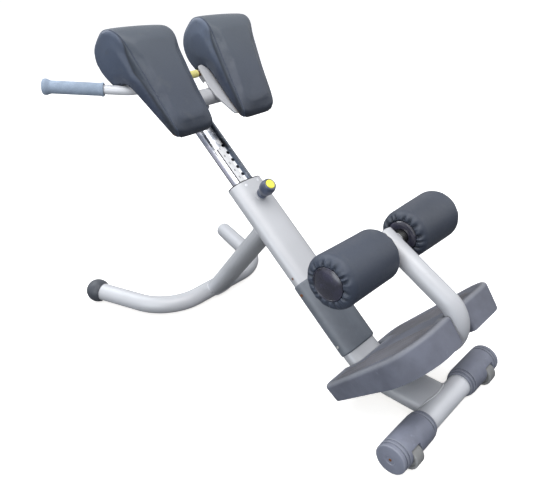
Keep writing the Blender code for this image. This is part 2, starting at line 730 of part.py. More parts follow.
def arm_axis_off(along):
    """How far the arm's straight upper run lies off the tube."""
    slope = (ARM_TOP[1] - ARM_CORNER) / (ARM_TOP[0] - ARM_LOW)
    return ARM_CORNER + slope * (along - ARM_LOW)


def build_plate_bracket(incline, looks):
    """Steel plate on two saddles over the arm's lower run, which carries the footplate."""
    under = PLATE_ALONG - PLATE_SKIN - GAP
    bracket = block("footplate_bracket", (-0.075, under - 0.004, 0.100), (0.075, under, 0.290))
    for off in (0.130, 0.255):
        saddle = block("bracket_saddle", (-0.020, ARM_LOW, off - 0.005),
                       (0.020, under - 0.002, off + 0.005))
        boolean(bracket, as_cutter(saddle, incline), "UNION")
    grown = as_cutter(pipe("bracket_seat", arm_path(), ARM_RADIUS + GAP, 4), incline)
    boolean(bracket, grown)
    finish(bracket, looks["paint"], incline)


def build_roller(word, side, incline, looks):
    """One padded roller: foam on a core tube, with a domed outer disc and a ringed inner one."""
    off = arm_axis_off(ROLLER_ALONG)
    axis = empty("roller_%s_axis" % word, (AXLE_SHIFT, ROLLER_ALONG, off), incline)
    r, disc = ROLLER_RADIUS, DISC_RADIUS
    inside = CORE_RADIUS + GAP
    end, start = ROLLER_OUTER, ROLLER_INNER
    foam = [(disc + 0.0008, end - 0.0015), (disc + 0.004, end), (r - 0.015, end - 0.0015),
            (r - 0.005, end - 0.008), (r, end - 0.022), (r, start + 0.020),
            (r - 0.004, start + 0.008), (r - 0.014, start + 0.0015), (disc + 0.004, start),
            (disc + 0.0008, start + 0.0015), (disc + 0.0008, start + 0.0043),
            (inside, start + 0.0043), (inside, end - 0.0075), (disc + 0.0008, end - 0.0075),
            (disc + 0.0008, end - 0.0015)]
    finish(along_x(turned("roller_foam_" + word, foam, 28), 0.0, 0.0, 0.0, side),
           looks["upholstery"], axis)
    core = [(AXLE_RADIUS + GAP, end - 0.0130), (CORE_RADIUS, end - 0.0130),
            (CORE_RADIUS, start - 0.0027), (AXLE_RADIUS + GAP, start - 0.0027),
            (AXLE_RADIUS + GAP, end - 0.0130)]
    finish(along_x(turned("roller_core_" + word, core, 20), 0.0, 0.0, 0.0, side),
           looks["black"], axis)
    dome = [(0.0, end + 0.0075), (0.0110, end + 0.0070), (0.0210, end + 0.0050),
            (0.0290, end + 0.0015), (0.0325, end - 0.0010), (disc, end - 0.0030),
            (disc, end - 0.0072), (disc - 0.0030, end - 0.0072), (disc - 0.0030, end - 0.0035),
            (0.0270, end - 0.0010), (0.0190, end + 0.0022), (0.0100, end + 0.0042),
            (0.0, end + 0.0047)]
    finish(along_x(turned("roller_disc_outer_" + word, dome, 28), 0.0, 0.0, 0.0, side),
           looks["gloss_black"], axis)
    ring = [(inside, start + 0.0040), (disc, start + 0.0040), (disc, start + 0.0010),
            (0.0310, start - 0.0020), (0.0260, start - 0.0035), (0.0215, start - 0.0040),
            (0.0205, start - 0.0030), (0.0200, start + 0.0005), (inside, start + 0.0005),
            (inside, start + 0.0040)]
    finish(along_x(turned("roller_disc_inner_" + word, ring, 28), 0.0, 0.0, 0.0, side),
           looks["gloss_black"], axis)
    seat = AXLE_HALF + GAP
    screw = [(0.0, seat + 0.0077), (0.0060, seat + 0.0077), (0.0070, seat + 0.0069),
             (0.0070, seat + 0.0030), (0.0150, seat + 0.0030), (0.0150, seat), (0.0, seat)]
    finish(along_x(turned("axle_screw_" + word, screw, 16), AXLE_SHIFT, ROLLER_ALONG, off, side),
           looks["steel"], incline)


def build_post(line, looks):
    """Chromed oval post with its row of pin holes, and the plastic glide on its lower end."""
    post = prism("post_tube", oval_points(POST_WIDE, POST_THICK, 28), POST_BOTTOM, POST_TOP)
    inner = prism("post_bore", oval_points(POST_WIDE - POST_WALL, POST_THICK - POST_WALL, 28),
                  POST_BOTTOM - 0.01, POST_TOP + 0.01)
    boolean(post, as_cutter(inner, line))
    drills = []
    for k in range(-HOLES_BELOW, HOLES_ABOVE + 1):
        along = PIN_ALONG + k * HOLE_PITCH
        drills.append(rod("drill", HOLE_RADIUS, (0.0, along, POST_THICK - 0.006),
                          (0.0, along, POST_THICK + 0.004), 12))
    boolean(post, as_cutter(several("post_drills", drills), line))
    finish(post, looks["chrome"], line)
    wide = TUBE_WIDE - TUBE_WALL - 0.0006
    thick = TUBE_THICK - TUBE_WALL - 0.0006
    glide = prism("post_glide", oval_points(wide, thick), POST_BOTTOM - 0.010, POST_BOTTOM + 0.035)
    cup = prism("glide_cup", oval_points(POST_WIDE + GAP, POST_THICK + GAP, 28),
                POST_BOTTOM - GAP, POST_BOTTOM + 0.05)
    boolean(glide, as_cutter(cup, line))
    finish(glide, looks["black"], line)


def build_pad_frame(carriage, line, looks):
    """Cross tube on a saddle over the post, with a steel plate under each pad."""
    axis = PLATE_BOTTOM - GAP - CROSS_RADIUS
    cross = rod("cross_tube", CROSS_RADIUS, (-CROSS_HALF, CROSS_ALONG, axis),
                (CROSS_HALF, CROSS_ALONG, axis), 28)
    bore = rod("cross_bore", CROSS_RADIUS - 0.0025, (-0.2, CROSS_ALONG, axis),
               (0.2, CROSS_ALONG, axis), 24)
    boolean(cross, as_cutter(bore, carriage))
    finish(cross, looks["paint"], carriage)
    saddle = block("post_saddle", (-0.024, CROSS_ALONG - 0.026, POST_THICK - 0.012),
                   (0.024, CROSS_ALONG + 0.026, axis - 0.012), 0.003)
    seat = prism("saddle_seat", oval_points(POST_WIDE + GAP, POST_THICK + GAP, 28), 0.7, 1.0)
    over = rod("saddle_top", CROSS_RADIUS + GAP, (-0.2, CROSS_ALONG, axis),
               (0.2, CROSS_ALONG, axis), 28)
    boolean(saddle, as_cutter(seat, line))
    boolean(saddle, as_cutter(over, carriage))
    finish(saddle, looks["paint"], carriage)
    for side, word in ((-1, "left"), (1, "right")):
        start = side * (CROSS_HALF + GAP)
        cap = rod("cross_plug_" + word, CROSS_RADIUS - 0.0005, (start, CROSS_ALONG, axis),
                  (start + side * 0.003, CROSS_ALONG, axis), 28)
        finish(cap, looks["black"], carriage)
        build_pad_side(word, side, carriage, looks)


def build_pad_side(word, side, carriage, looks):
    """What is on one side of the post: plate, board, pad, handle and grip."""
    corners = [((0.052, 0.770), 0.012), ((0.028, 0.835), 0.030), ((0.024, 0.870), 0.030),
               ((0.034, 0.943), 0.008), ((0.050, 0.943), 0.008), ((0.060, 0.928), 0.006),
               ((0.152, 0.926), 0.020), ((0.160, 0.860), 0.030),
               ((0.140, 0.770), 0.020)]
    ordered = corners if side > 0 else list(reversed(corners))
    outline = rounded([((side * x, y, 0.0), r) for (x, y), r in ordered], step=25.0)
    under = plate("pad_plate_" + word, [(p.x, p.y) for p in outline], PLATE_BOTTOM, PLATE_TOP)
    lug = block("plate_lug_" + word,
                (min(side * 0.046, side * 0.050), HANDLE_ALONG - 0.016, HANDLE_OFF - 0.016),
                (max(side * 0.046, side * 0.050), HANDLE_ALONG + 0.016, PLATE_BOTTOM + 0.002))
    boolean(under, as_cutter(lug, carriage), "UNION")
    heads = []
    for along in (0.790, 0.905):
        for x in (0.072, 0.128):
            heads.append(rod("bolt_head", 0.007, (side * x, along, PLATE_BOTTOM - 0.005),
                             (side * x, along, PLATE_BOTTOM + 0.002), 6))
    boolean(under, as_cutter(several("bolt_heads_" + word, heads), carriage), "UNION")
    finish(under, looks["paint"], carriage, smooth=30.0)
    build_handle(word, side, carriage, looks)
    build_pad(word, side, carriage, looks)


def pad_edges(along):
    """The pad's inner and outer edge at a place along the tube: it widens towards its nose."""
    inner = 0.0520 + (along - 0.755) * 0.020
    outer = 0.188 + (along - 0.755) * 0.172
    return inner, outer


def pad_profile():
    """The pad from the side: a wedge that rises to a thick nose, hooked over its board."""
    under = PAD_UNDERSIDE
    corners = [((0.741, under), 0.004), ((0.741, 0.1065), 0.012), ((0.995, 0.1820), 0.090),
               ((1.053, 0.162), 0.045), ((1.050, 0.054), 0.048), ((0.945, 0.054), 0.024),
               ((0.936, under), 0.004)]
    path = rounded([((0.0, y, z), r) for (y, z), r in corners], step=20.0)
    return [(p.y, p.z) for p in path]


def build_pad(word, side, carriage, looks):
    """Upholstered pad on a plywood board, which is screwed to the plate."""
    bm = bmesh.new()
    profile = pad_profile()
    for take, fullness in ((0, 0.955), (1, 1.0)):
        ring = []
        for y, z in profile:
            level = PAD_UNDERSIDE + max(0.0, z - PAD_UNDERSIDE) * fullness
            ring.append(bm.verts.new((side * pad_edges(y)[take], y, min(z, level))))
        bm.faces.new(ring)
    bm.verts.ensure_lookup_table()
    count = len(profile)
    for i in range(count):
        j = (i + 1) % count
        bm.faces.new((bm.verts[i], bm.verts[j], bm.verts[count + j], bm.verts[count + i]))
    pad = new_mesh("hip_pad_" + word, bm)
    rounding = pad.modifiers.new("bevel", "BEVEL")
    rounding.width = 0.012
    rounding.segments = 2
    rounding.limit_method = "ANGLE"
    rounding.angle_limit = math.radians(60)
    finish(pad, looks["upholstery"], carriage, smooth=50.0)
    low, high = 0.752, 0.930
    corners = [((pad_edges(low)[0] + 0.008, low), 0.012), ((pad_edges(high)[0] + 0.008, high), 0.012),
               ((pad_edges(high)[1] - 0.008, high), 0.012), ((pad_edges(low)[1] - 0.008, low), 0.012)]
    if side < 0:
        corners = list(reversed(corners))
    outline = rounded([((side * x, y, 0.0), r) for (x, y), r in corners], step=30.0)
    board = plate("pad_board_" + word, [(p.x, p.y) for p in outline],
                  PLATE_TOP + GAP, PAD_UNDERSIDE - GAP)
    finish(board, looks["plywood"], carriage, smooth=30.0)


def handle_path(side):
    """A handle in the tilted frame: out under the pad, then a bend to the grip."""
    drop = Vector((0.0, GRIP_END[1] - KNEE_BEHIND_BAR, GRIP_END[2] - BASE_Z))
    end_along = drop.y * math.cos(INCLINE) + drop.z * math.sin(INCLINE)
    end_off = drop.z * math.cos(INCLINE) - drop.y * math.sin(INCLINE)
    start = Vector((side * (0.050 + GAP), HANDLE_ALONG, HANDLE_OFF))
    corner = Vector((side * HANDLE_CORNER_X, HANDLE_ALONG, HANDLE_OFF))
    end = Vector((side * GRIP_END[0], end_along, end_off))
    return rounded([(start, 0.0), (corner, 0.055), (end, 0.0)], closed=False, step=8.0)


def build_handle(word, side, carriage, looks):
    """Bent handle tube welded to the plate's lug, with a flanged rubber grip."""
    path = handle_path(side)
    tube = pipe("handle_tube_" + word, path, HANDLE_RADIUS, 3)
    finish(tube, looks["paint"], carriage)
    out = (path[-1] - path[-2]).normalized()
    bore = HANDLE_RADIUS + GAP
    r, length = GRIP_RADIUS, GRIP_LENGTH
    profile = [(0.0, 0.006), (0.014, 0.006), (0.0185, 0.0045), (0.0205, 0.0015),
               (0.0205, -0.0040), (0.0185, -0.0090), (r, -0.0140), (r, 0.006 - length),
               (r + 0.0012, 0.0055 - length), (r + 0.0012, 0.001 - length), (r, -length),
               (bore, -length), (bore, GAP), (0.0, GAP)]
    grip = turned("grip_" + word, profile, 24)
    grip.location = path[-1]
    grip.rotation_euler = out.to_track_quat("Z", "Y").to_euler()
    finish(grip, looks["grip"], carriage)


def build_lift_bar(carriage, looks):
    """Rod between the two plates with a yellow sleeve, held to raise and lower the pads."""
    reach = 0.046 - GAP
    bar = rod("lift_bar", 0.008, (-reach, HANDLE_ALONG, HANDLE_OFF),
              (reach, HANDLE_ALONG, HANDLE_OFF), 16)
    finish(bar, looks["rust"], carriage)
    half = 0.034
    sleeve = turned("lift_bar_sleeve", [(0.0083, half), (0.0098, half), (0.0107, half - 0.001),
                                        (0.0107, 0.001 - half), (0.0098, -half), (0.0083, -half),
                                        (0.0083, half)], 20)
    along_x(sleeve, 0.0, HANDLE_ALONG, HANDLE_OFF)
    finish(sleeve, looks["yellow"], carriage)


def make_looks():
    """One material for each finish on the bench."""
    return {
        "paint": material("silver_paint", (0.60, 0.61, 0.62), 0.38, 0.2),
        "chrome": material("chrome", (0.72, 0.73, 0.75), 0.12, 1.0),
        "moulding": material("grey_moulding", (0.125, 0.145, 0.165), 0.55),
        "wheel": material("wheel_grey", (0.22, 0.24, 0.25), 0.6),
        "cap": material("ball_cap", (0.060, 0.068, 0.078), 0.5),
        "upholstery": material("leatherette", (0.035, 0.045, 0.055), 0.5),
        "black": material("black_plastic", (0.02, 0.02, 0.022), 0.5),
        "gloss_black": material("disc_plastic", (0.025, 0.025, 0.032), 0.3),
        "black_knob": material("knob_plastic", (0.045, 0.050, 0.060), 0.4),
        "yellow": material("yellow_plastic", (0.80, 0.72, 0.02), 0.45),
        "steel": material("zinc_steel", (0.50, 0.50, 0.49), 0.35, 1.0),
        "dark_steel": material("dark_steel", (0.06, 0.06, 0.065), 0.4, 0.8),
        "rust": material("rusty_steel", (0.20, 0.09, 0.04), 0.7, 0.3),
        "grip": material("grip_rubber", (0.14, 0.17, 0.20), 0.65),
        "plywood": material("plywood", (0.45, 0.32, 0.19), 0.7),
    }


def build_bench():
    """The whole bench, piece by piece."""
    clear_scene()
    looks = make_looks()
    incline = empty("incline", (0.0, BAR_Y + KNEE_BEHIND_BAR, BASE_Z), tilt=INCLINE)
    line = empty("tube_line", (0.0, BAR_Y + TUBE_KNEE_BEHIND_BAR, BASE_Z), tilt=TUBE_INCLINE)
    build_main_tube(looks)
    build_front_foot(looks)
    build_rear_foot(looks)
    build_rear_strut(looks)
    build_bushing(line, looks)
    build_plunger(line, looks)
    build_shin_cover(line, looks)
    build_footplate(incline, looks)
    build_roller_arm(incline, looks)
    for side, word in ((-1, "left"), (1, "right")):
        build_roller(word, side, incline, looks)
    post_line = empty("carriage_slide", (0.0, 0.0, 0.0), line)
    carriage = empty("pad_frame", (0.0, 0.0, 0.0), incline)
    build_post(post_line, looks)
    build_pad_frame(carriage, post_line, looks)
    build_lift_bar(carriage, looks)


build_bench()
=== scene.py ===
"""Hyperextension bench: detailed pieces and finishes on the bench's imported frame.

The bench stands on the floor with its foot end towards -Y and its hip pads towards +Y.
Most pieces are placed in a sloped frame: across the bench, along the slope and off the slope.
"""

import json
import math

import bmesh
import bpy
import numpy as np
from mathutils import Matrix
from mathutils.bvhtree import BVHTree


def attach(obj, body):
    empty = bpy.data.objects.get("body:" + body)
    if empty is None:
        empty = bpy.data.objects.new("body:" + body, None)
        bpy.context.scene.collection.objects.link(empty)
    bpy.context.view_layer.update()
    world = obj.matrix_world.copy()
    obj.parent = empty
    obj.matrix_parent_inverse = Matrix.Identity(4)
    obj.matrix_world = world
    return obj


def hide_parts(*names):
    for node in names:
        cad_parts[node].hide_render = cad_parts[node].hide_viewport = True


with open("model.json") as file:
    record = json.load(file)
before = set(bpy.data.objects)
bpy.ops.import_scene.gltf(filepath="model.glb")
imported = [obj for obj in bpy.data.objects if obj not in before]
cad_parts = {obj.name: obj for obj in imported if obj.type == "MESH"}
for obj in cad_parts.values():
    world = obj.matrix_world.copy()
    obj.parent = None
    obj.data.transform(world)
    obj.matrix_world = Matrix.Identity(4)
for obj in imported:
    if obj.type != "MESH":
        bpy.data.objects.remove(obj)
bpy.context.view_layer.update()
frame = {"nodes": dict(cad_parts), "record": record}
NODE_SLOT = {part["node"]: part["material_slot"] for part in frame["record"]["subparts"]}
NODE_BODY = {node: body for body, nodes in frame["record"]["behaviour"]["bodies"].items()
             for node in nodes}

bl_info = {
    "name": "Hyperextension bench",
    "version": (1, 0, 0),
    "blender": (4, 5, 0),
    "location": "View3D > Sidebar > Bench",
    "description": "Builds the detailed pieces and finishes of a hyperextension bench",
    "category": "Object",
}

SIDES = ((-1, "left"), (1, "right"))
CLOTH_FRAMES = 20
GATHERS = 16        # creases at each end of a roller
PAD_LOW = 0.741     # low end of the pads, along the slope
SCALE_TOP = 0.738   # upper end of the post's scale, along the slope


# Sizes and colours

def length(name, value, text):
    """A size in metres that can be changed in the sidebar."""
    return bpy.props.FloatProperty(name=name, description=text, default=value, unit="LENGTH",
                                   precision=4)


def slope(name, degrees, text):
    """An angle that can be changed in the sidebar."""
    return bpy.props.FloatProperty(name=name, description=text, default=math.radians(degrees),
                                   subtype="ANGLE")


def tone(name, value, text):
    """A colour that can be changed in the sidebar."""
    return bpy.props.FloatVectorProperty(name=name, description=text, default=value, size=3,
                                         min=0.0, max=1.0, subtype="COLOR")


class TubeSizes(bpy.types.PropertyGroup):
    """Main tube, post and pull pin."""
    bar_y: length("Front bar", -0.5337, "Where the front foot bar lies along the bench")
    base_z: length("Base height", 0.036, "Height of the main tube's level run")
    slope: slope("Tube slope", 39.85, "Slope of the main tube and the post")
    knee: length("Tube knee", 0.2009, "Where the tube's slope starts, behind the front bar")
    bend: length("Knee bend", 0.20, "Bend radius of the tube's axis")
    wide: length("Half width", 0.0585, "Half the tube's width")
    thick: length("Half thickness", 0.0285, "Half the tube's thickness")
    top: length("Tube top", 0.6155, "End of the tube along its slope")
    post_wide: length("Post half width", 0.035, "Half the post's width")
    post_thick: length("Post half thickness", 0.020, "Half the post's thickness")
    post_low: length("Post bottom", 0.3246, "Lower end of the post along the slope")
    post_high: length("Post top", 0.9046, "Upper end of the post along the slope")
    pin: length("Pull pin", 0.5656, "Where the pull pin stands along the slope")
    pitch: length("Hole pitch", 0.025, "Distance between the post's holes")
    hole: length("Hole radius", 0.0053, "Radius of the post's holes")
    cover_low: length("Cover low end", 0.0710, "Lower end of the shin cover")
    cover_high: length("Cover high end", 0.2955, "Upper end of the shin cover")
    cover_wide: length("Cover half width", 0.0640, "Half the shin cover's width")
    cover_thick: length("Cover height", 0.034, "Height of the shin cover over the tube's axis")


class FootSizes(bpy.types.PropertyGroup):
    """Front foot, rear foot, strut and footplate."""
    bar: length("Bar radius", 0.030, "Radius of the front foot bar")
    bar_z: length("Bar height", 0.039, "Height of the front foot bar's axis")
    sleeve: length("Sleeve radius", 0.039, "Radius of the moulded end feet")
    inner: length("Sleeve inner end", 0.089, "Inner end of an end foot, from the middle")
    outer: length("Sleeve outer end", 0.238, "Outer end of an end foot, from the middle")
    wheel: length("Wheel radius", 0.0284, "Radius of the transport wheels")
    wheel_x: length("Wheel place", 0.186, "Middle of a wheel, from the bench's middle")
    wheel_ahead: length("Wheel ahead", 0.021, "Wheel axle in front of the bar's axis")
    wheel_z: length("Wheel height", 0.029, "Height of the wheel axle")
    rear: length("Rear radius", 0.027, "Radius of the rear foot tube")
    rear_z: length("Rear height", 0.0365, "Height of the rear foot's axis")
    rear_y: length("Rear foot", 0.810, "Rear foot's straight part, behind the front bar")
    rear_end: length("Rear end", 1.079, "Ends of the rear foot, behind the front bar")
    rear_corner: length("Rear corner", 0.199, "Corner of the rear foot, from the middle")
    rear_out: length("Rear end place", 0.285, "Ends of the rear foot, from the middle")
    rear_bend: length("Rear bend", 0.150, "Bend radius of the rear foot")
    ball: length("Ball radius", 0.0365, "Radius of the ball foot")
    strut_wide: length("Strut half width", 0.055, "Half the strut's width")
    strut_thick: length("Strut half thickness", 0.0245, "Half the strut's thickness")
    plate: length("Plate place", 0.018, "Footplate's face along the slope")
    plate_half: length("Plate half width", 0.199, "Half the footplate's width at its rear edge")
    plate_front: length("Plate front half", 0.170, "Half the footplate's width at the tube")
    plate_back: length("Plate rear edge", 0.357, "Footplate's rear edge, off the slope")
    skirt: length("Skirt depth", 0.068, "Depth of the footplate's skirt at the rear edge")
    draft: length("Skirt draft", 0.010, "How far the skirt draws in towards its lower edge")
    rib_pitch: length("Rib pitch", 0.024, "Distance between the footplate's ribs")
    rib_first: length("First rib", 0.045, "First rib, from the middle")


class SeatSizes(bpy.types.PropertyGroup):
    """Hip pads, handles, roller arm and rollers."""
    slope: slope("Seat slope", 41.5, "Slope of the pads, the rollers and the footplate")
    knee: length("Seat knee", 0.2332, "Where that slope starts, behind the front bar")
    arm: length("Arm radius", 0.0255, "Radius of the roller arm")
    arm_low: length("Arm lower run", -0.042, "Lower run of the arm, along the slope")
    arm_corner: length("Arm corner", 0.373, "Corner of the arm, off the slope")
    arm_top: length("Arm top", 0.250, "Upper end of the arm, along the slope")
    arm_lean: length("Arm top off", 0.3235, "Upper end of the arm, off the slope")
    arm_bend: length("Arm bend", 0.078, "Bend radius of the arm")
    roller: length("Roller radius", 0.0633, "Radius of a roller")
    roller_along: length("Roller place", 0.223, "Roller axle along the slope")
    roller_shift: length("Roller shift", -0.018, "Middle of the axle across the bench")
    roller_inner: length("Roller inner end", 0.0480, "Inner end of a roller on its axle")
    roller_outer: length("Roller outer end", 0.2305, "Outer end of a roller on its axle")
    disc: length("Disc radius", 0.0385, "Radius of the rollers' end discs")
    cross_along: length("Cross tube", 0.857, "Cross tube along the slope")
    cross_off: length("Cross tube off", 0.0547, "Cross tube's axis off the slope")
    cross: length("Cross radius", 0.0235, "Radius of the cross tube")
    cross_half: length("Cross half", 0.125, "Half the cross tube's length")
    handle: length("Handle radius", 0.012, "Radius of the handle tubes")
    handle_along: length("Handle place", 0.922, "Handles and lift bar, along the slope")
    handle_off: length("Handle off", 0.064, "Handles and lift bar, off the slope")
    handle_corner: length("Handle corner", 0.196, "Bend of a handle, from the middle")
    grip: length("Grip radius", 0.0165, "Radius of the grips")
    grip_long: length("Grip length", 0.148, "Length of the grips")
    pad_under: length("Pad underside", 0.0841, "Underside of the hip pads, off the slope")


class Colours(bpy.types.PropertyGroup):
    """Base colours of the finishes."""
    silver: tone("Silver paint", (0.478, 0.481, 0.496), "Satin silver paint of the tubes")
    chrome: tone("Chrome", (0.78, 0.79, 0.82), "Plated post")
    moulding: tone("Moulding", (0.128, 0.135, 0.167), "Blue-grey footplate, cover and end feet")
    pad: tone("Leatherette", (0.034, 0.042, 0.060), "Dark slate covers of pads and rollers")
    disc: tone("Discs", (0.022, 0.022, 0.032), "Glossy end discs of the rollers")
    knob: tone("Knob", (0.040, 0.050, 0.078), "Barrel knob of the pull pin")
    yellow: tone("Yellow", (0.93, 0.84, 0.06), "Knob cap and lift sleeve")
    grip: tone("Grips", (0.285, 0.345, 0.430), "Blue-grey hand grips")
    wheel: tone("Wheels", (0.22, 0.22, 0.215), "Transport wheels")
    ball: tone("Ball foot", (0.052, 0.058, 0.070), "Dark ball foot")


def tube_sizes():
    """The main tube's and post's sizes."""
    return bpy.context.scene.bench_tube


def foot_sizes():
    """The feet's and footplate's sizes."""
    return bpy.context.scene.bench_foot


def seat_sizes():
    """The pads', handles' and rollers' sizes."""
    return bpy.context.scene.bench_seat


# Shader expressions

class Socket:
    """A shader socket that can be added, subtracted and multiplied, each time as a Math node."""

    def __init__(self, graph, link):
        self.graph = graph
        self.link = link

    def maths(self, operation, other):
        """A Math node on this value and another."""
        return self.graph.add("ShaderNodeMath", {"operation": operation}, {0: self, 1: other})

    def __add__(self, other):
        return self.maths("ADD", other)

    def __sub__(self, other):
        return self.maths("SUBTRACT", other)

    def __mul__(self, other):
        return self.maths("MULTIPLY", other)

    def __rsub__(self, other):
        return self.graph.add("ShaderNodeMath", {"operation": "SUBTRACT"}, {0: other, 1: self})

    __radd__ = __add__
    __rmul__ = __mul__

    def step(self, low, high):
        """0 below low, 1 above high, and smooth between them."""
        return self.graph.add("ShaderNodeMapRange", {"interpolation_type": "SMOOTHSTEP"},
                              {"Value": self, "From Min": low, "From Max": high})


class Graph:
    """The nodes of a finish or of the surround, built from expressions."""

    def __init__(self, tree):
        self.tree = tree

    def feed(self, node, key, value):
        """Link or set one socket of a node."""
        if isinstance(value, Socket):
            self.tree.links.new(value.link, node.inputs[key])
        elif isinstance(value, (tuple, list)) and node.inputs[key].type == "RGBA":
            node.inputs[key].default_value = (*value[:3], 1.0)
        else:
            node.inputs[key].default_value = value

    def add(self, kind, settings=None, inputs=None, output=0):
        """A node of any kind: its settings first, then the values or links of its sockets."""
        node = self.tree.nodes.new(kind)
        for key, value in (settings or {}).items():
            setattr(node, key, value)
        for key, value in (inputs or {}).items():
            self.feed(node, key, value)
        return Socket(self, node.outputs[output])

    def mix(self, factor, first, second):
        """One colour into another."""
        return self.add("ShaderNodeMix", {"data_type": "RGBA"}, {0: factor, 6: first, 7: second},
                        output=2)

    def ray(self, kind):
        """1 for one kind of ray and 0 for the others."""
        return self.add("ShaderNodeLightPath", output=kind)


class Finish(Graph):
    """A material with one Principled BSDF."""

    def __init__(self, name, **constants):
        self.material = bpy.data.materials.new(name)
        self.material.use_nodes = True
        super().__init__(self.material.node_tree)
        self.tree.nodes.clear()
        self.shader = self.tree.nodes.new("ShaderNodeBsdfPrincipled")
        out = self.tree.nodes.new("ShaderNodeOutputMaterial")
        self.tree.links.new(self.shader.outputs[0], out.inputs["Surface"])
        self.set(**constants)

    def place(self, stretch=(1.0, 1.0, 1.0), kind="Object"):
        """Object coordinates or the piece's own UV map, stretched along each axis."""
        at = self.add("ShaderNodeTexCoord", output=kind)
        if stretch == (1.0, 1.0, 1.0):
            return at
        return self.add("ShaderNodeVectorMath", {"operation": "MULTIPLY"}, {0: at, 1: stretch})

    def noise(self, at, scale, detail=3.0, rough=0.5, bend=0.0):
        """A noise value about 0.5."""
        return self.add("ShaderNodeTexNoise", {}, {"Vector": at, "Scale": scale, "Detail": detail,
                                                   "Roughness": rough, "Distortion": bend})

    def cells(self, at, scale):
        """The distance in a field of cells."""
        return self.add("ShaderNodeTexVoronoi", {}, {"Vector": at, "Scale": scale})

    def bump(self, height, depth, strength):
        """A Bump node for a height of 0 to 1 that stands for a depth in metres."""
        return self.add("ShaderNodeBump", {}, {"Strength": strength, "Distance": depth,
                                               "Height": height})

    def attribute(self, name):
        """A value stored on the piece's points."""
        return self.add("ShaderNodeAttribute", {"attribute_name": name}, output="Fac")

    def set(self, **inputs):
        """Values or links into the shader's sockets."""
        for key, value in inputs.items():
            self.feed(self.shader, key.replace("_", " "), value)
        return self.material


def shade(colour, factor):
    """A colour made darker or lighter."""
    return tuple(min(1.0, value * factor) for value in colour)


def painted(name, colour, chips=0.735):
    """Satin silver paint: soft clouds, orange peel, rubbed scratches and small dark chips."""
    f = Finish(name, Metallic=0.12, Coat_Weight=0.14, Coat_Roughness=0.30)
    at = f.place()
    cloud = f.noise(at, 5.0, 2.0)
    peel = f.noise(at, 520.0, 2.0)
    scratch = f.noise(f.place((9.0, 60.0, 60.0)), 10.0, 5.0, 0.6).step(0.66, 0.72)
    scuff = f.noise(at, 34.0, 8.0, 0.72, 0.4).step(0.60, 0.72)
    chip = f.noise(at, 95.0, 6.0, 0.66).step(chips, chips + 0.025)
    base = f.mix(cloud.step(0.30, 0.70), shade(colour, 0.90), shade(colour, 1.06))
    base = f.mix(scuff * 0.40, base, (0.33, 0.335, 0.34))
    base = f.mix(scratch * 0.30, base, (0.40, 0.40, 0.41))
    base = f.mix(chip * 0.85, base, (0.085, 0.060, 0.045))
    rough = 0.47 + (cloud - 0.5) * 0.14 + scuff * 0.18 + scratch * 0.12 + chip * 0.3
    height = peel * 0.30 + scuff * 0.15 - scratch * 0.25 - chip * 0.9
    return f.set(Base_Color=base, Roughness=rough, Normal=f.bump(height, 0.00022, 0.55))


def plated(name, colour):
    """Bright plating with fine rubbed lines along the post, cloudy patches and tiny pits. The
    far flank is painted dark as a reflection, with painted reflection streaks along the post,
    and attributes add a painted lavender reflection band on the near flank and a painted dark
    reflection line at its edge."""
    f = Finish(name)
    at = f.place()
    lines = f.noise(f.place((420.0, 7.0, 7.0)), 1.0, 4.0, 0.7)
    patch = f.noise(at, 46.0, 6.0, 0.62, 0.6).step(0.50, 0.66)
    pit = f.noise(at, 330.0, 3.0, 0.6).step(0.70, 0.74)
    # painted reflection: the far flank, past the post's middle, is painted dark
    painted_reflection_flank = f.add("ShaderNodeSeparateXYZ", {}, {0: at}, "X").step(0.0006, 0.0038)
    side, above = f.attribute("side"), f.attribute("above")
    painted_reflection_streak = f.noise(f.place((160.0, 5.0, 5.0)), 1.0, 3.0, 0.6).step(0.46, 0.62)
    low = f.noise(at, 30.0, 6.0, 0.66, 0.8).step(0.47, 0.56)
    # painted reflection: a lavender, less metallic band on the near flank and a dark line at its
    # edge
    base = f.mix(side, colour, (0.48, 0.47, 0.54))
    base = f.mix(f.attribute("edge"), base, (0.055, 0.055, 0.070))
    base = f.mix(painted_reflection_flank, base, (0.060, 0.078, 0.110))
    # painted reflection streaks along the post, stronger on the far flank
    base = f.mix(painted_reflection_streak * (0.25 + painted_reflection_flank * 0.35), base, (0.20, 0.22, 0.27))
    base = f.mix(low * above * (0.75 - painted_reflection_flank * 0.70), base, (0.24, 0.27, 0.33))
    base = f.mix(patch * 0.30, base, (0.42, 0.44, 0.48))
    base = f.mix(pit * 0.8, base, (0.10, 0.065, 0.045))
    rough = 0.13 + lines * 0.12 + patch * 0.20 + pit * 0.4
    return f.set(Base_Color=base, Roughness=rough, Metallic=1.0 - side * 0.75,
                 Normal=f.bump(lines * 0.5 - pit + patch * 0.2, 0.00012, 0.5))


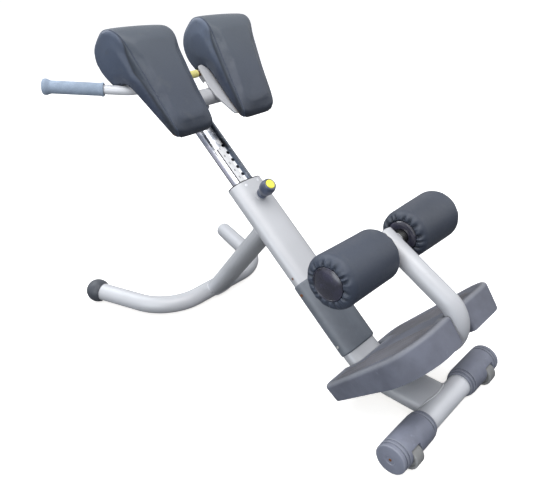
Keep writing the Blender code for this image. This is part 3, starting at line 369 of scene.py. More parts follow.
def leatherette(name, colour):
    """Upholstery: fine cell grain, mottled tone, rubbed edges, a darker sewn line on the pads
    and painted shade in the rollers' creases. Attributes of 0 to 1 mark the side band, a
    painted bluish light on it, a painted highlight over the face's upper end and painted
    shade over its low end or over a whole roller."""
    f = Finish(name, Specular_IOR_Level=0.42)
    at = f.place()
    warp = f.add("ShaderNodeVectorMath", {"operation": "ADD"},
                 {0: at, 1: f.add("ShaderNodeTexNoise", {}, {"Vector": at, "Scale": 240.0,
                                                            "Detail": 2.0}, output="Color")})
    grain = f.cells(warp, 620.0)
    crack = f.noise(at, 900.0, 3.0, 0.6)
    mottle = f.noise(at, 26.0, 5.0, 0.6)
    broad = f.noise(at, 5.5, 2.0)
    band, seam_and_crease_shade = f.attribute("band"), f.attribute("seam_and_crease_shade")
    base = f.mix(broad.step(0.30, 0.70), shade(colour, 0.82), shade(colour, 1.18))
    # painted highlight: the face is lighter towards its upper end where pale is set
    base = f.mix(f.attribute("pale") * (0.55 + mottle * 0.5), base, (0.080, 0.094, 0.108))
    # painted light: a bluish glow on the side band near the nose where bloom is set
    edge = f.mix(f.attribute("bloom") * (0.6 + broad * 0.6), (0.031, 0.041, 0.068),
                 (0.110, 0.135, 0.190))
    base = f.mix(band, base, edge)
    # painted shade: darker where deep is set, at a pad's low end or over a whole roller
    base = f.mix(f.attribute("deep"), base, shade(colour, 0.35))
    base = f.mix(mottle.step(0.55, 0.75) * 0.30, base, (0.085, 0.092, 0.098))
    base = f.mix(crack.step(0.35, 0.70) * 0.22, base, shade(colour, 2.2))
    # a darker sewn line on the pads, and painted shade in the rollers' creases
    base = f.mix(seam_and_crease_shade * 0.75, base, (0.010, 0.012, 0.014))
    rough = 0.42 + (mottle - 0.5) * 0.26 + grain * 0.10 + seam_and_crease_shade * 0.2
    height = grain * 0.75 + crack * 0.25 + mottle * 0.8
    return f.set(Base_Color=base, Roughness=rough, Normal=f.bump(height, 0.00028, 0.5))


def moulded(name, colour, rough=0.52, dust=0.55, grain=620.0):
    """Moulded plastic: sparked grain, rubbed lighter patches, pale dust, a few scrapes, and a
    lighter tone where worn is set: rubbed wear on turned edges, partly a painted highlight on
    the footplate's rim, and painted light on the shin cover's left side.
    """
    f = Finish(name, Specular_IOR_Level=0.40)
    at = f.place()
    spark = f.noise(at, grain, 3.0, 0.6)
    cloud = f.noise(at, 11.0, 4.0, 0.58)
    rub = f.noise(at, 42.0, 7.0, 0.70, 0.3).step(0.58, 0.76)
    scrape = f.noise(f.place((14.0, 70.0, 70.0)), 7.0, 5.0, 0.66).step(0.68, 0.73)
    grit = f.noise(at, 260.0, 5.0, 0.7).step(0.64, 0.72)
    base = f.mix(cloud.step(0.32, 0.68), shade(colour, 0.84), shade(colour, 1.14))
    base = f.mix(rub * dust * 0.5, base, shade(colour, 2.1))
    base = f.mix(grit * dust * 0.45, base, (0.235, 0.215, 0.190))
    base = f.mix(scrape * 0.30, base, shade(colour, 2.6))
    # worn: rubbed wear on turned edges, a highlight painted with wear on the footplate's rim,
    # painted light on the shin cover's left side
    base = f.mix(f.attribute("worn") * (0.30 + cloud * 0.35), base, (0.30, 0.305, 0.315))
    value = rough + (cloud - 0.5) * 0.16 + rub * 0.12 - scrape * 0.08
    height = spark * 0.7 + rub * 0.15 - scrape * 0.35
    return f.set(Base_Color=base, Roughness=value, Normal=f.bump(height, 0.00020, 0.5))


def glossy(name, colour, rough=0.24, tint_and_reflection=(0.040, 0.038, 0.070)):
    """Gloss moulding: turned fine lines, settled dust and patches of a second tint, which on
    the dark discs and knob is a painted bluish reflection.
    """
    f = Finish(name, Coat_Weight=0.45, Coat_Roughness=0.16)
    at = f.place()
    bloom = f.noise(at, 38.0, 4.0, 0.6, 0.5)
    dust = f.noise(at, 480.0, 5.0, 0.7).step(0.60, 0.72)
    lines = f.noise(f.place((2.0, 900.0, 1.0), "UV"), 1.0, 2.0)
    # patches of the second tint: a painted bluish reflection on the dark pieces, a deeper yellow
    # on the yellow ones
    base = f.mix(bloom.step(0.34, 0.72) * 0.65, colour, tint_and_reflection)
    base = f.mix(dust * 0.16, base, (0.16, 0.155, 0.15))
    value = rough + (bloom - 0.5) * 0.18 + dust * 0.20 + (lines - 0.5) * 0.10
    return f.set(Base_Color=base, Roughness=value,
                 Normal=f.bump(lines * 0.4 + dust * 0.4, 0.00008, 0.4))


def rubbery(name, colour):
    """Grip rubber: dense pebble, hand-worn smoother patches and grime in the low spots."""
    f = Finish(name, Specular_IOR_Level=0.30)
    at = f.place()
    pebble = f.cells(at, 780.0)
    worn = f.noise(at, 24.0, 5.0, 0.62).step(0.42, 0.70)
    base = f.mix(worn * 0.55, shade(colour, 0.86), shade(colour, 1.30))
    base = f.mix(pebble.step(0.45, 0.80) * 0.30, base, shade(colour, 0.45))
    return f.set(Base_Color=base, Roughness=0.66 - worn * 0.14 + pebble * 0.08,
                 Normal=f.bump(pebble * (1.0 - worn * 0.5), 0.00022, 0.6))


def bare_metal(name, colour, rough=0.34, rust=0.66, brown=(0.13, 0.055, 0.022)):
    """Bare or plated steel: brushed lines, dull clouds, and rust where it starts to bloom."""
    f = Finish(name)
    at = f.place()
    brushed = f.noise(f.place((30.0, 900.0, 900.0)), 1.0, 4.0, 0.6)
    cloud = f.noise(at, 130.0, 4.0, 0.6)
    bloom = f.noise(at, 160.0, 8.0, 0.72, 0.4).step(rust, rust + 0.07)
    base = f.mix(cloud.step(0.35, 0.70), shade(colour, 0.78), shade(colour, 1.16))
    base = f.mix(bloom, base, brown)
    return f.set(Base_Color=base, Metallic=1.0 - bloom * 0.9,
                 Roughness=rough + (brushed - 0.5) * 0.2 + bloom * 0.45,
                 Normal=f.bump(brushed * 0.4 + bloom * 0.8, 0.00012, 0.5))


def plywood(name):
    """Plywood: faces with stretched grain and edges with thin veneer lines."""
    f = Finish(name, Roughness=0.74)
    grain = f.noise(f.place((90.0, 9.0, 9.0)), 3.0, 6.0, 0.6, 0.5)
    veneer = f.noise(f.place((1.0, 1.0, 520.0)), 1.0, 1.0).step(0.44, 0.56)
    base = f.mix(grain.step(0.3, 0.7), (0.36, 0.235, 0.125), (0.56, 0.41, 0.25))
    base = f.mix(veneer * 0.35, base, (0.24, 0.145, 0.075))
    return f.set(Base_Color=base, Normal=f.bump(grain, 0.0002, 0.5))


def scale_print(name, ink):
    """The scale strip's film, or its printing where ink is set."""
    f = Finish(name, Specular_IOR_Level=0.15 if ink else 0.5)
    rub = f.noise(f.place(), 150.0, 6.0, 0.7).step(0.50, 0.68)
    plain, worn = ((0.030, 0.030, 0.036), (0.12, 0.12, 0.13)) if ink else \
        ((0.60, 0.60, 0.60), (0.46, 0.45, 0.43))
    return f.set(Base_Color=f.mix(rub * 0.55, plain, worn), Roughness=0.38 + rub * 0.25)


LOOKS = {}


def make_looks():
    """One finish for each slot of the record, and others for pieces with a tone of their own or
    with painted light or shade.
    """
    c = bpy.context.scene.bench_colours
    LOOKS.update({
        "silver_paint": painted("silver_paint", tuple(c.silver)),
        "chrome": plated("chrome", tuple(c.chrome)),
        "grey_moulding": moulded("grey_moulding", tuple(c.moulding)),
        "wheel_grey": moulded("wheel_grey", tuple(c.wheel), 0.60, 0.35),
        "ball_cap": moulded("ball_cap", tuple(c.ball), 0.46, 0.5, 420.0),
        "leatherette": leatherette("leatherette", tuple(c.pad)),
        "black_plastic": moulded("black_plastic", (0.020, 0.020, 0.022), 0.48, 0.3),
        "disc_plastic": glossy("disc_plastic", tuple(c.disc)),
        "knob_plastic": glossy("knob_plastic", tuple(c.knob), 0.34, (0.085, 0.105, 0.165)),
        "yellow_plastic": glossy("yellow_plastic", tuple(c.yellow), 0.36, (0.78, 0.70, 0.05)),
        "zinc_steel": bare_metal("zinc_steel", (0.56, 0.56, 0.55)),
        "dark_steel": bare_metal("dark_steel", (0.070, 0.070, 0.076), 0.38, 0.68),
        "rusty_steel": bare_metal("rusty_steel", (0.30, 0.24, 0.20), 0.50, 0.40,
                                  (0.16, 0.062, 0.024)),
        "grip_rubber": rubbery("grip_rubber", tuple(c.grip)),
        "plywood": plywood("plywood"),
        # a lighter copy of the silver paint: painted light on the front bar, the handles and the
        # rim screws
        "lit_copy_silver_paint": painted("lit_copy_silver_paint", shade(c.silver, 1.38)),
        "foot_moulding": moulded("foot_moulding", shade(c.moulding, 1.40), 0.50, 0.75),
        # a darker copy of the moulding: painted shade over the shin cover
        "shaded_cover_moulding": moulded("shaded_cover_moulding", (0.098, 0.112, 0.134), 0.46),
        "rib_moulding": moulded("rib_moulding", (0.160, 0.154, 0.164), 0.60, 0.9),
        "faded_yellow": glossy("faded_yellow", (0.80, 0.73, 0.24), 0.45, (0.66, 0.60, 0.25)),
        "scale_film": scale_print("scale_film", False),
        "scale_ink": scale_print("scale_ink", True),
    })
    for name, node in frame["nodes"].items():
        node.data.materials.clear()
        node.data.materials.append(LOOKS[NODE_SLOT[name]])


# Surfaces

def unit(vectors):
    """Vectors of length one."""
    vectors = np.asarray(vectors, float)
    return vectors / np.linalg.norm(vectors, axis=-1, keepdims=True)


def arc_path(corners, radii, steps=14, closed=False):
    """A path through corners. At a corner of radius r the arc starts r / tan(half angle) from
    it and turns about a centre r / sin(half angle) away; each arc has the same steps."""
    corners = [np.array(corner, float) for corner in corners]
    count = len(corners)
    rows = []
    for k, (corner, radius) in enumerate(zip(corners, radii)):
        if radius <= 0.0 or (not closed and k in (0, count - 1)):
            rows.append(corner[None])
            continue
        before = unit(corners[k - 1] - corner)
        after = unit(corners[(k + 1) % count] - corner)
        half = math.acos(max(-1.0, min(1.0, float(before @ after)))) / 2
        centre = corner + unit(before + after) * radius / math.sin(half)
        start = corner + before * radius / math.tan(half) - centre
        angle = np.linspace(0.0, math.pi - 2 * half, steps + 1)[:, None]
        rows.append(centre + start * np.cos(angle) - before * radius * np.sin(angle))
    return np.concatenate(rows)


def oval(half_x, half_y, count=96, power=2.4):
    """Superellipse: x = a |cos t|^(2/p), y = b |sin t|^(2/p), with the signs of cos and sin."""
    angle = 2 * math.pi * (np.arange(count) + 0.5) / count
    c, s = np.cos(angle), np.sin(angle)
    return np.stack([np.sign(c) * np.abs(c) ** (2 / power) * half_x,
                     np.sign(s) * np.abs(s) ** (2 / power) * half_y], 1)


def circle(radius, count=64):
    """Points round a circle."""
    return oval(radius, radius, count, 2.0)


def oval_height(x, half_x, half_y, power=2.4):
    """Height of a superellipse over a place across it: y = b (1 - |x / a|^p)^(1/p)."""
    return half_y * (1 - np.minimum(1.0, np.abs(x) / half_x) ** power) ** (1 / power)


def round_angles(count):
    """Angles of a full turn, in even steps."""
    return 2 * math.pi * np.arange(count) / count


def quarter(share):
    """Rise of a quarter circle: 0 at the edge and 1 one radius in."""
    return np.sqrt(np.clip(1 - (1 - np.clip(share, 0, 1)) ** 2, 0, 1))


def ease_ends(t, power=1.7):
    """Parameter from 0 to 1 with its points packed towards both ends."""
    low = 0.5 * (2 * np.minimum(t, 1 - t)) ** power
    return np.where(t < 0.5, low, 1 - low)


def dense(profile, step):
    """A closed profile with points no further apart than a step, along the same lines."""
    leg = np.roll(profile, -1, 0) - profile
    count = np.maximum(1, np.ceil(np.linalg.norm(leg, axis=1) / step).astype(int))
    index = np.repeat(np.arange(len(profile)), count)
    first = np.cumsum(count) - count
    share = (np.arange(len(index)) - first[index]) / count[index]
    return profile[index] + leg[index] * share[:, None]


def loop_tangent(loop):
    """Unit tangents of a closed loop of points."""
    return unit(np.roll(loop, -1, 0) - np.roll(loop, 1, 0))


def sweep(path, side, section):
    """A section carried along a planar path: P = path + side x + (tangent cross side) y."""
    path, side = np.asarray(path, float), unit(side)
    legs = unit(np.diff(path, axis=0))
    tangent = np.concatenate([legs[:1], unit(legs[:-1] + legs[1:]), legs[-1:]])
    across = np.cross(tangent, side)
    return path[:, None] + section[:, :1] * side + section[:, 1:] * across[:, None]


def spokes(axis, steps):
    """Directions round an axis: n cos a + b sin a, with n and b across it and each other."""
    n = unit(np.cross(axis, (0.0, 0.0, 1.0) if abs(axis[2]) < 0.9 else (1.0, 0.0, 0.0)))
    b = np.cross(axis, n)
    angle = round_angles(steps)
    return np.cos(angle)[:, None] * n + np.sin(angle)[:, None] * b


def turned(profile, centre, axis, steps=80):
    """A profile of (radius, height) turned about an axis: P = centre + axis h + spoke r. The
    profile climbs on its outer side."""
    axis = unit(axis)
    return (np.asarray(centre, float) + profile[:, None, 1, None] * axis
            + profile[:, None, 0, None] * spokes(axis, steps))


def cord_grid(loop, size):
    """A cord along a closed loop: a circle about each point, P = loop + r (out cos a + across
    sin a). Its radius is one number, or one for each point."""
    tangent = loop_tangent(loop)
    out = loop - loop.mean(0)
    out = unit(out - (out * tangent).sum(1)[:, None] * tangent)
    across = np.cross(tangent, out)
    size = np.broadcast_to(size, len(loop))[:, None]
    angle = round_angles(10)
    return (loop[:, None] + (np.cos(angle) * size)[..., None] * out[:, None]
            + (np.sin(angle) * size)[..., None] * across[:, None])


def bead_grid(loop, radius, waves, seed):
    """A weld bead along a closed loop: a cord whose radius ripples as r (1 + 0.16 sin(k s) +
    small random swells)."""
    phase = round_angles(len(loop))
    rng = np.random.default_rng(seed)
    swells = sum(rng.uniform(-0.1, 0.1) * np.sin(k * phase + rng.uniform(0, 6.3))
                 for k in range(2, 9))
    return cord_grid(loop, radius * (1 + 0.16 * np.sin(waves * phase) + swells))


def tilted(points, tube=False):
    """Points given across, along and off a slope, in the bench's frame: y = knee + u cos - w
    sin, z = base + u sin + w cos. The main tube has its own slope."""
    at = tube_sizes()
    own = at if tube else seat_sizes()
    c, s = math.cos(own.slope), math.sin(own.slope)
    x, u, w = np.moveaxis(np.asarray(points, float), -1, 0)
    return np.stack([x, at.bar_y + own.knee + u * c - w * s, at.base_z + u * s + w * c], -1)


def directed(vector, tube=False):
    """A direction given across, along and off a slope, in the bench's frame."""
    return unit(tilted(vector, tube) - tilted((0.0, 0.0, 0.0), tube))


def sloped(points, tube=False):
    """Points of the bench's frame, across, along and off a slope: the reverse of tilted."""
    at = tube_sizes()
    own = at if tube else seat_sizes()
    c, s = math.cos(own.slope), math.sin(own.slope)
    y = points[:, 1] - at.bar_y - own.knee
    z = points[:, 2] - at.base_z
    return np.stack([points[:, 0], y * c + z * s, z * c - y * s], 1)


def slice_at(section, along):
    """A section as a ring of points across, along and off a slope, at a place along it."""
    return np.stack([section[:, 0], np.full(len(section), along), section[:, 1]], 1)


def surface(name, grid, closed=False, caps=(False, False), smooth=40.0, weld=False):
    """A mesh over a grid of points. Quad (i, j) joins P(i, j), P(i, j+1), P(i+1, j+1) and
    P(i+1, j); columns wrap, and rows wrap too when closed or end in a fan where capped. The
    UV map holds the length round and the length along, in metres."""
    grid = np.asarray(grid, float)
    rows, cols = grid.shape[:2]
    i, j = np.meshgrid(np.arange(rows if closed else rows - 1), np.arange(cols), indexing="ij")
    i, j = i.ravel(), j.ravel()
    i2, j2 = (i + 1) % rows, (j + 1) % cols
    quads = np.stack([i * cols + j, i * cols + j2, i2 * cols + j2, i2 * cols + j], 1)
    around = np.linalg.norm(np.roll(grid, -1, 1) - grid, axis=2).mean(0)
    along = np.linalg.norm(np.roll(grid, -1, 0) - grid, axis=2).mean(1)
    around = np.concatenate([[0.0], np.cumsum(around)])
    along = np.concatenate([[0.0], np.cumsum(along)])
    uv = [np.stack([around[[j, j + 1, j + 1, j]].T, along[[i, i, i + 1, i + 1]].T],
                   2).reshape(-1, 2)]
    points, faces = [grid.reshape(-1, 3)], quads.tolist()
    ring = np.arange(cols)
    following = (ring + 1) % cols
    for is_end, wanted in enumerate(caps):
        if not wanted:
            continue
        row = rows - 1 if is_end else 0
        hub = rows * cols + sum(len(p) for p in points[1:])
        points.append(grid[row].mean(0)[None])
        first, second = (ring, following) if is_end else (following, ring)
        fan = np.stack([np.full(cols, hub), row * cols + first, row * cols + second], 1)
        faces += fan.tolist()
        centre = grid[row].mean(0)
        flat = np.linalg.norm(grid[row] - centre, axis=1)
        uv.append(np.stack([np.stack([around[ring], around[first], around[second]], 1),
                            along[row] + np.stack([flat * 0, flat[first], flat[second]], 1)],
                           2).reshape(-1, 2))
    mesh = bpy.data.meshes.new(name)
    mesh.from_pydata(np.concatenate(points), [], faces)
    layer = mesh.uv_layers.new(name="surface")
    layer.uv.foreach_set("vector", np.concatenate(uv).astype(np.float32).ravel())
    return make_object(name, mesh, smooth, weld)


def make_object(name, mesh, smooth=40.0, weld=False):
    """An object for a mesh, shaded smooth except over sharp edges; weld merges doubles."""
    if weld:
        bm = bmesh.new()
        bm.from_mesh(mesh)
        bmesh.ops.remove_doubles(bm, verts=bm.verts, dist=0.00001)
        bm.to_mesh(mesh)
        bm.free()
    obj = bpy.data.objects.new(name, mesh)
    bpy.context.scene.collection.objects.link(obj)
    mesh.shade_smooth()
    mesh.set_sharp_from_angle(angle=math.radians(smooth))
    return obj


def settle(piece, look, body, *nodes, slot=None):
    """Give a piece its finish and its body, and hide the CAD nodes that it stands for."""
    piece.data.materials.clear()
    piece.data.materials.append(LOOKS[look])
    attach(piece, body)
    if nodes:
        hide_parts(*nodes)
    return piece


def solid_copy(node, bevel):
    """A CAD node's own shape with its small edges rounded, in place of the node."""
    source = frame["nodes"][node]
    bm = bmesh.new()
    bm.from_mesh(source.data)
    bmesh.ops.remove_doubles(bm, verts=bm.verts, dist=0.00001)
    bmesh.ops.dissolve_limit(bm, angle_limit=math.radians(1.0), verts=bm.verts, edges=bm.edges)
    mesh = bpy.data.meshes.new(node + "_finished")
    bm.to_mesh(mesh)
    bm.free()
    piece = make_object(node + "_finished", mesh, 35)
    rounding = piece.modifiers.new("edges", "BEVEL")
    rounding.width = bevel
    rounding.segments = 2
    rounding.limit_method = "ANGLE"
    rounding.angle_limit = math.radians(40)
    return settle(piece, NODE_SLOT[node], NODE_BODY[node], node)


def apply_all(piece):
    """Keep the result of a piece's modifiers as its mesh."""
    done = piece.evaluated_get(bpy.context.evaluated_depsgraph_get())
    mesh = bpy.data.meshes.new_from_object(done)
    piece.modifiers.clear()
    piece.data = mesh
    mesh.shade_smooth()


def cut(piece, cutter):
    """Cut a closed mesh out of a piece, with the result kept as its mesh."""
    modifier = piece.modifiers.new("cut", "BOOLEAN")
    modifier.operation = "DIFFERENCE"
    modifier.solver = "EXACT"
    modifier.object = cutter
    apply_all(piece)
    bpy.data.objects.remove(cutter, do_unlink=True)
    piece.data.set_sharp_from_angle(angle=math.radians(35))


def merged(name, parts):
    """Several closed meshes as one object."""
    bm = bmesh.new()
    for part in parts:
        bm.from_mesh(part.data)
        bpy.data.objects.remove(part, do_unlink=True)
    bmesh.ops.recalc_face_normals(bm, faces=bm.faces)
    mesh = bpy.data.meshes.new(name)
    bm.to_mesh(mesh)
    bm.free()
    return make_object(name, mesh, 45)


def store(piece, name, values):
    """Keep a value for each point of a piece, or one for all, for its finish."""
    layer = piece.data.attributes.new(name, "FLOAT", "POINT")
    values = np.broadcast_to(values, len(piece.data.vertices)).astype(np.float32)
    layer.data.foreach_set("value", values)


def points_of(piece):
    """The points of a piece as an array."""
    flat = np.empty(len(piece.data.vertices) * 3)
    piece.data.vertices.foreach_get("co", flat)
    return flat.reshape(-1, 3)


# Stage

def make_stage():
    """The surround, the floor, soft lamps and the camera."""
    scene = bpy.context.scene
    scene.view_settings.view_transform = "Standard"
    make_surround(scene)
    make_floor()
    for name, place, size, power, colour in (
            ("key", (-0.5, -0.8, 3.2), 2.6, 76.0, (1.0, 0.99, 0.98)),
            ("left", (-2.9, -0.7, 1.2), 2.4, 54.0, (0.90, 0.95, 1.0)),
            ("right", (2.2, -1.4, 2.0), 2.4, 16.0, (0.95, 0.97, 1.0)),
            ("back", (-0.6, 2.3, 2.6), 2.4, 66.0, (0.93, 0.97, 1.0))):
        lamp = bpy.data.lights.new(name, "AREA")
        lamp.shape = "DISK"
        lamp.size = size
        lamp.energy = power
        lamp.color = colour
        holder = bpy.data.objects.new(name, lamp)
        scene.collection.objects.link(holder)
        aim_at(holder, place, (0.0, 0.0, 0.35))
    make_camera(scene)


def make_surround(scene):
    """A soft cool light all round, which the camera, gloss and clear parts see as white."""
    scene.world = bpy.data.worlds.new("studio")
    scene.world.use_nodes = True
    tree = scene.world.node_tree
    graph = Graph(tree)
    seen = graph.ray("Is Camera Ray").maths("MAXIMUM", graph.ray("Is Glossy Ray"))
    seen = seen.maths("MAXIMUM", graph.ray("Is Transmission Ray"))
    level = graph.add("ShaderNodeMapRange", {}, {"Value": seen, "To Min": 0.42, "To Max": 1.0})
    background = tree.nodes["Background"]
    graph.feed(background, "Color", graph.mix(seen, (0.88, 0.95, 1.10), (1.0, 1.0, 1.0)))
    graph.feed(background, "Strength", level)


def make_floor():
    """A pale floor that shows the bench's shadow, with a glow that brings it close to white."""
    side = 40.0
    mesh = bpy.data.meshes.new("studio_floor")
    mesh.from_pydata([(-side, -side, 0.0), (side, -side, 0.0), (side, side, 0.0),
                      (-side, side, 0.0)], [], [(0, 1, 2, 3)])
    floor = make_object("studio_floor", mesh)
    f = Finish("studio_floor", Roughness=0.9, Specular_IOR_Level=0.1, Emission_Strength=0.72)
    seen = f.ray("Is Camera Ray").maths("MAXIMUM", f.ray("Is Transmission Ray"))
    pale = f.mix(f.noise(f.place(), 3.0), (0.80, 0.80, 0.80), (0.81, 0.81, 0.81))
    f.set(Base_Color=f.mix(seen, (0.16, 0.16, 0.16), pale),
          Emission_Color=f.mix(seen, (0.0, 0.0, 0.0), (1.0, 0.975, 0.93)))
    floor.data.materials.append(f.material)


def aim_at(holder, place, target):
    """Put a lamp or camera somewhere and turn it to a target."""
    place = np.array(place, float)
    forward = unit(np.array(target, float) - place)
    right = unit(np.cross(forward, (0.0, 0.0, 1.0)))
    up = np.cross(right, forward)
    turn = np.eye(4)
    turn[:3, 0], turn[:3, 1], turn[:3, 2], turn[:3, 3] = right, up, -forward, place
    holder.matrix_world = Matrix(turn.tolist())


def make_camera(scene):
    """The camera of the photograph, in the bench's frame."""
    focal_pixels, frame_pixels, sensor = 585.87, 542.0, 36.0
    lens = bpy.data.cameras.new("camera")
    lens.sensor_width = sensor
    lens.sensor_fit = "HORIZONTAL"
    lens.lens = focal_pixels / frame_pixels * sensor
    holder = bpy.data.objects.new("camera", lens)
    scene.collection.objects.link(holder)
    place = np.array((-1.0819, -0.9469, 1.0793))
    aim_at(holder, place, place + np.array((0.6444, 0.5874, -0.4897)))
    scene.camera = holder


# Main tube and post

def tube_path(steps=44):
    """Axis of the main tube: level over the front bar, one arc, then up the slope."""
    t = tube_sizes()
    knee = np.array((0.0, t.bar_y + t.knee, t.base_z))
    up = np.array((0.0, math.cos(t.slope), math.sin(t.slope)))
    start = np.array((0.0, t.bar_y + 0.004, t.base_z))
    return arc_path([start, knee, knee + up * t.top], [0.0, t.bend, 0.0], steps)


def make_main_tube():
    """Oval tube, the guide bushing with its rim, two screws, and the welds on the tube."""
    t, foot = tube_sizes(), foot_sizes()
    settle(surface("main_tube_shell", sweep(tube_path(), (1, 0, 0), oval(t.wide, t.thick, 112)),
                   caps=(True, True)), "silver_paint", "frame", "main_tube")
    outer = oval(t.wide - 0.0002, t.thick - 0.0002, 112)
    inner = oval(t.post_wide + 0.0008, t.post_thick + 0.0008, 112)
    rim = [(outer - draw * np.sign(outer), rise) for draw, rise in (
        (0.0, 0.0004), (0.0, 0.0022), (0.0003, 0.0032), (0.0009, 0.0034), (0.0020, 0.0034),
        (0.0021, 0.0024))]
    rows = [slice_at(section, t.top + rise) for section, rise in (
        (outer * 0.93, -0.012), *rim, (inner, 0.0022), (inner, -0.030), (outer * 0.92, -0.030))]
    grid = tilted(np.array(rows), tube=True)[:, ::-1]
    settle(surface("guide_bushing", grid, closed=True, smooth=32), "black_plastic", "frame",
           "top_bushing")
    for side, word in SIDES:
        along = t.top - 0.0125 if side < 0 else t.top - 0.0105
        x = side * 0.021 if side < 0 else 0.027
        place = tilted((x, along, oval_height(x, t.wide, t.thick) - 0.0008), tube=True)
        dome = arc_path([(0, -0.003), (0.0048, -0.003), (0.0048, 0.0015), (0, 0.0030)],
                        [0, 0, 0.0013, 0], 5)
        # painted light: the screws take the lighter copy of the silver paint
        settle(lathe("rim_screw_" + word, dome, place, directed((x * 6, 0, 1), True), 28),
               "lit_copy_silver_paint", "frame", "bushing_screw_" + word, slot="zinc_steel")
    hole = tilted((-t.wide + 0.0001, 0.3165, 0.004), True)
    settle(lathe("drain_hole", [(0, 0), (0.0034, 0), (0.0034, 0.0004), (0, 0.0004)], hole,
                 (-1, 0, 0), 24), "rusty_steel", "frame", slot="zinc_steel")
    ring = oval(t.wide, t.thick, 150)
    z = t.base_z + ring[:, 1]
    reach = np.sqrt(np.maximum(foot.bar ** 2 - (z - foot.bar_z) ** 2, 0.00002))
    loop = np.stack([ring[:, 0], t.bar_y + reach, z], 1)
    settle(surface("front_weld", bead_grid(loop, 0.0026, 54, 3), closed=True), "silver_paint",
           "frame")


def lathe(name, profile, centre, axis, steps=80, smooth=40.0, closed=False):
    """A turned piece. Poles are closed with a fan about the axis."""
    profile = np.asarray(profile, float)
    caps = [False, False]
    if not closed:
        caps = [profile[0][0] < 1e-6, profile[-1][0] < 1e-6]
        profile = profile[int(caps[0]):len(profile) - int(caps[1])]
    piece = surface(name, turned(profile, centre, axis, steps), closed, caps, smooth)
    worn = np.repeat(edge_wear(profile), steps)
    store(piece, "worn", np.append(worn, np.zeros(sum(caps))))
    return piece


def edge_wear(profile):
    """Wear of a profile's points: their turn per millimetre where it is convex."""
    step = np.diff(profile, axis=0)
    size = np.linalg.norm(step, axis=1)
    heading = np.arctan2(step[:, 1], step[:, 0])
    turn = (np.diff(heading) + math.pi) % (2 * math.pi) - math.pi
    turn = np.pad(turn / np.maximum(size[1:] + size[:-1], 1e-5), 1)
    return np.clip(turn * 0.0022, 0, 1)


def make_post():
    """Plated oval post with drilled holes, and the scale strip beside them. Attributes mark the
    painted lavender reflection band on its near flank, the painted dark reflection line under
    it and the clouded part above the scale."""
    t = tube_sizes()
    count = 120
    outer = oval(t.post_wide, t.post_thick, count)
    inner = oval(t.post_wide - 0.0025, t.post_thick - 0.0025, count)
    first, last = t.pin - 5 * t.pitch, t.pin + 8 * t.pitch
    stations = np.concatenate([np.linspace(t.post_low, first, 8), np.linspace(
        first, last, 90)[1:], np.linspace(last, t.post_high, 8)[1:]])
    rows = [slice_at(outer, along) for along in stations]
    rows += [slice_at(inner, along) for along in (t.post_high, t.post_low)]
    grid = tilted(np.array(rows), tube=True)[:, ::-1]
    post = surface("post_shell", grid, closed=True, smooth=30)
    drill = [(0, -0.008), (t.hole, -0.008), (t.hole, 0.006), (0, 0.006)]
    cut(post, merged("drills", [
        lathe("drill", drill, tilted((0.0, t.pin + k * t.pitch, t.post_thick), True),
              directed((0, 0, 1), True), 28) for k in range(-4, 8)]))
    x, along, off = sloped(points_of(post), True).T
    turn = np.degrees(np.arctan2(off / t.post_thick, x / t.post_wide)) % 360
    # painted reflection band over the near flank
    store(post, "side", np.clip((turn - 150) / 8, 0, 1) * (turn < 300))
    # painted dark reflection line along the near flank's lower part
    store(post, "edge", np.clip((turn - 187) / 5, 0, 1) * (turn < 300))
    store(post, "above", np.clip((along - SCALE_TOP) / 0.006, 0, 1))
    settle(post, "chrome", "carriage", "post_tube")
    make_scale(t)


def scale_strip(name, sides, ends, top, t):
    """A thin strip on the post's curved face, between two places across and two along."""
    x = np.linspace(*sides, 12)
    xs, us = np.meshgrid(x, np.linspace(*ends, 40))
    lift = oval_height(x, t.post_wide, t.post_thick)
    high = np.stack([xs, us, np.broadcast_to(lift + top, xs.shape)], 2)
    low = np.stack([xs, us, np.broadcast_to(lift - 0.00010, xs.shape)], 2)
    grid = np.concatenate([high, low[:, ::-1]], 1)
    return surface(name, tilted(grid, True), caps=(True, True), smooth=60)


def make_scale(t):
    """A thin white film on the post, with an edge line and plain numbers."""
    for name, look, sides, ends, top in (
            ("scale_film", "scale_film", (-0.0265, -0.0058), (0.560, SCALE_TOP), 0.00032),
            ("scale_line", "scale_ink", (-0.0258, -0.0232), (0.562, SCALE_TOP - 0.002), 0.00070)):
        settle(scale_strip(name, sides, ends, top, t), look, "carriage", slot="chrome")
    x, up = -0.0162, directed((0, 1, 0), True)
    lean = unit((1.0, 0.0, 0.0) + directed((0, 0, 1), True) * 0.21)
    out = np.cross(lean, up)
    for k in range(1, 8):
        text = bpy.data.curves.new("number", "FONT")
        text.body = str(k)
        text.size = 0.0100
        text.extrude = 0.00012
        text.align_x = text.align_y = "CENTER"
        holder = bpy.data.objects.new("number", text)
        bpy.context.scene.collection.objects.link(holder)
        mesh = bpy.data.meshes.new_from_object(
            holder.evaluated_get(bpy.context.evaluated_depsgraph_get()))
        bpy.data.objects.remove(holder, do_unlink=True)
        number = make_object("scale_number_%d" % k, mesh, weld=True)
        place = tilted((x, t.pin + k * t.pitch - 0.006,
                        oval_height(x, t.post_wide, t.post_thick) + 0.00065), True)
        moved = place + points_of(number) @ np.array((lean, up, out))
        mesh.vertices.foreach_set("co", moved.ravel())
        mesh.update()
        settle(number, "scale_ink", "carriage", slot="chrome")


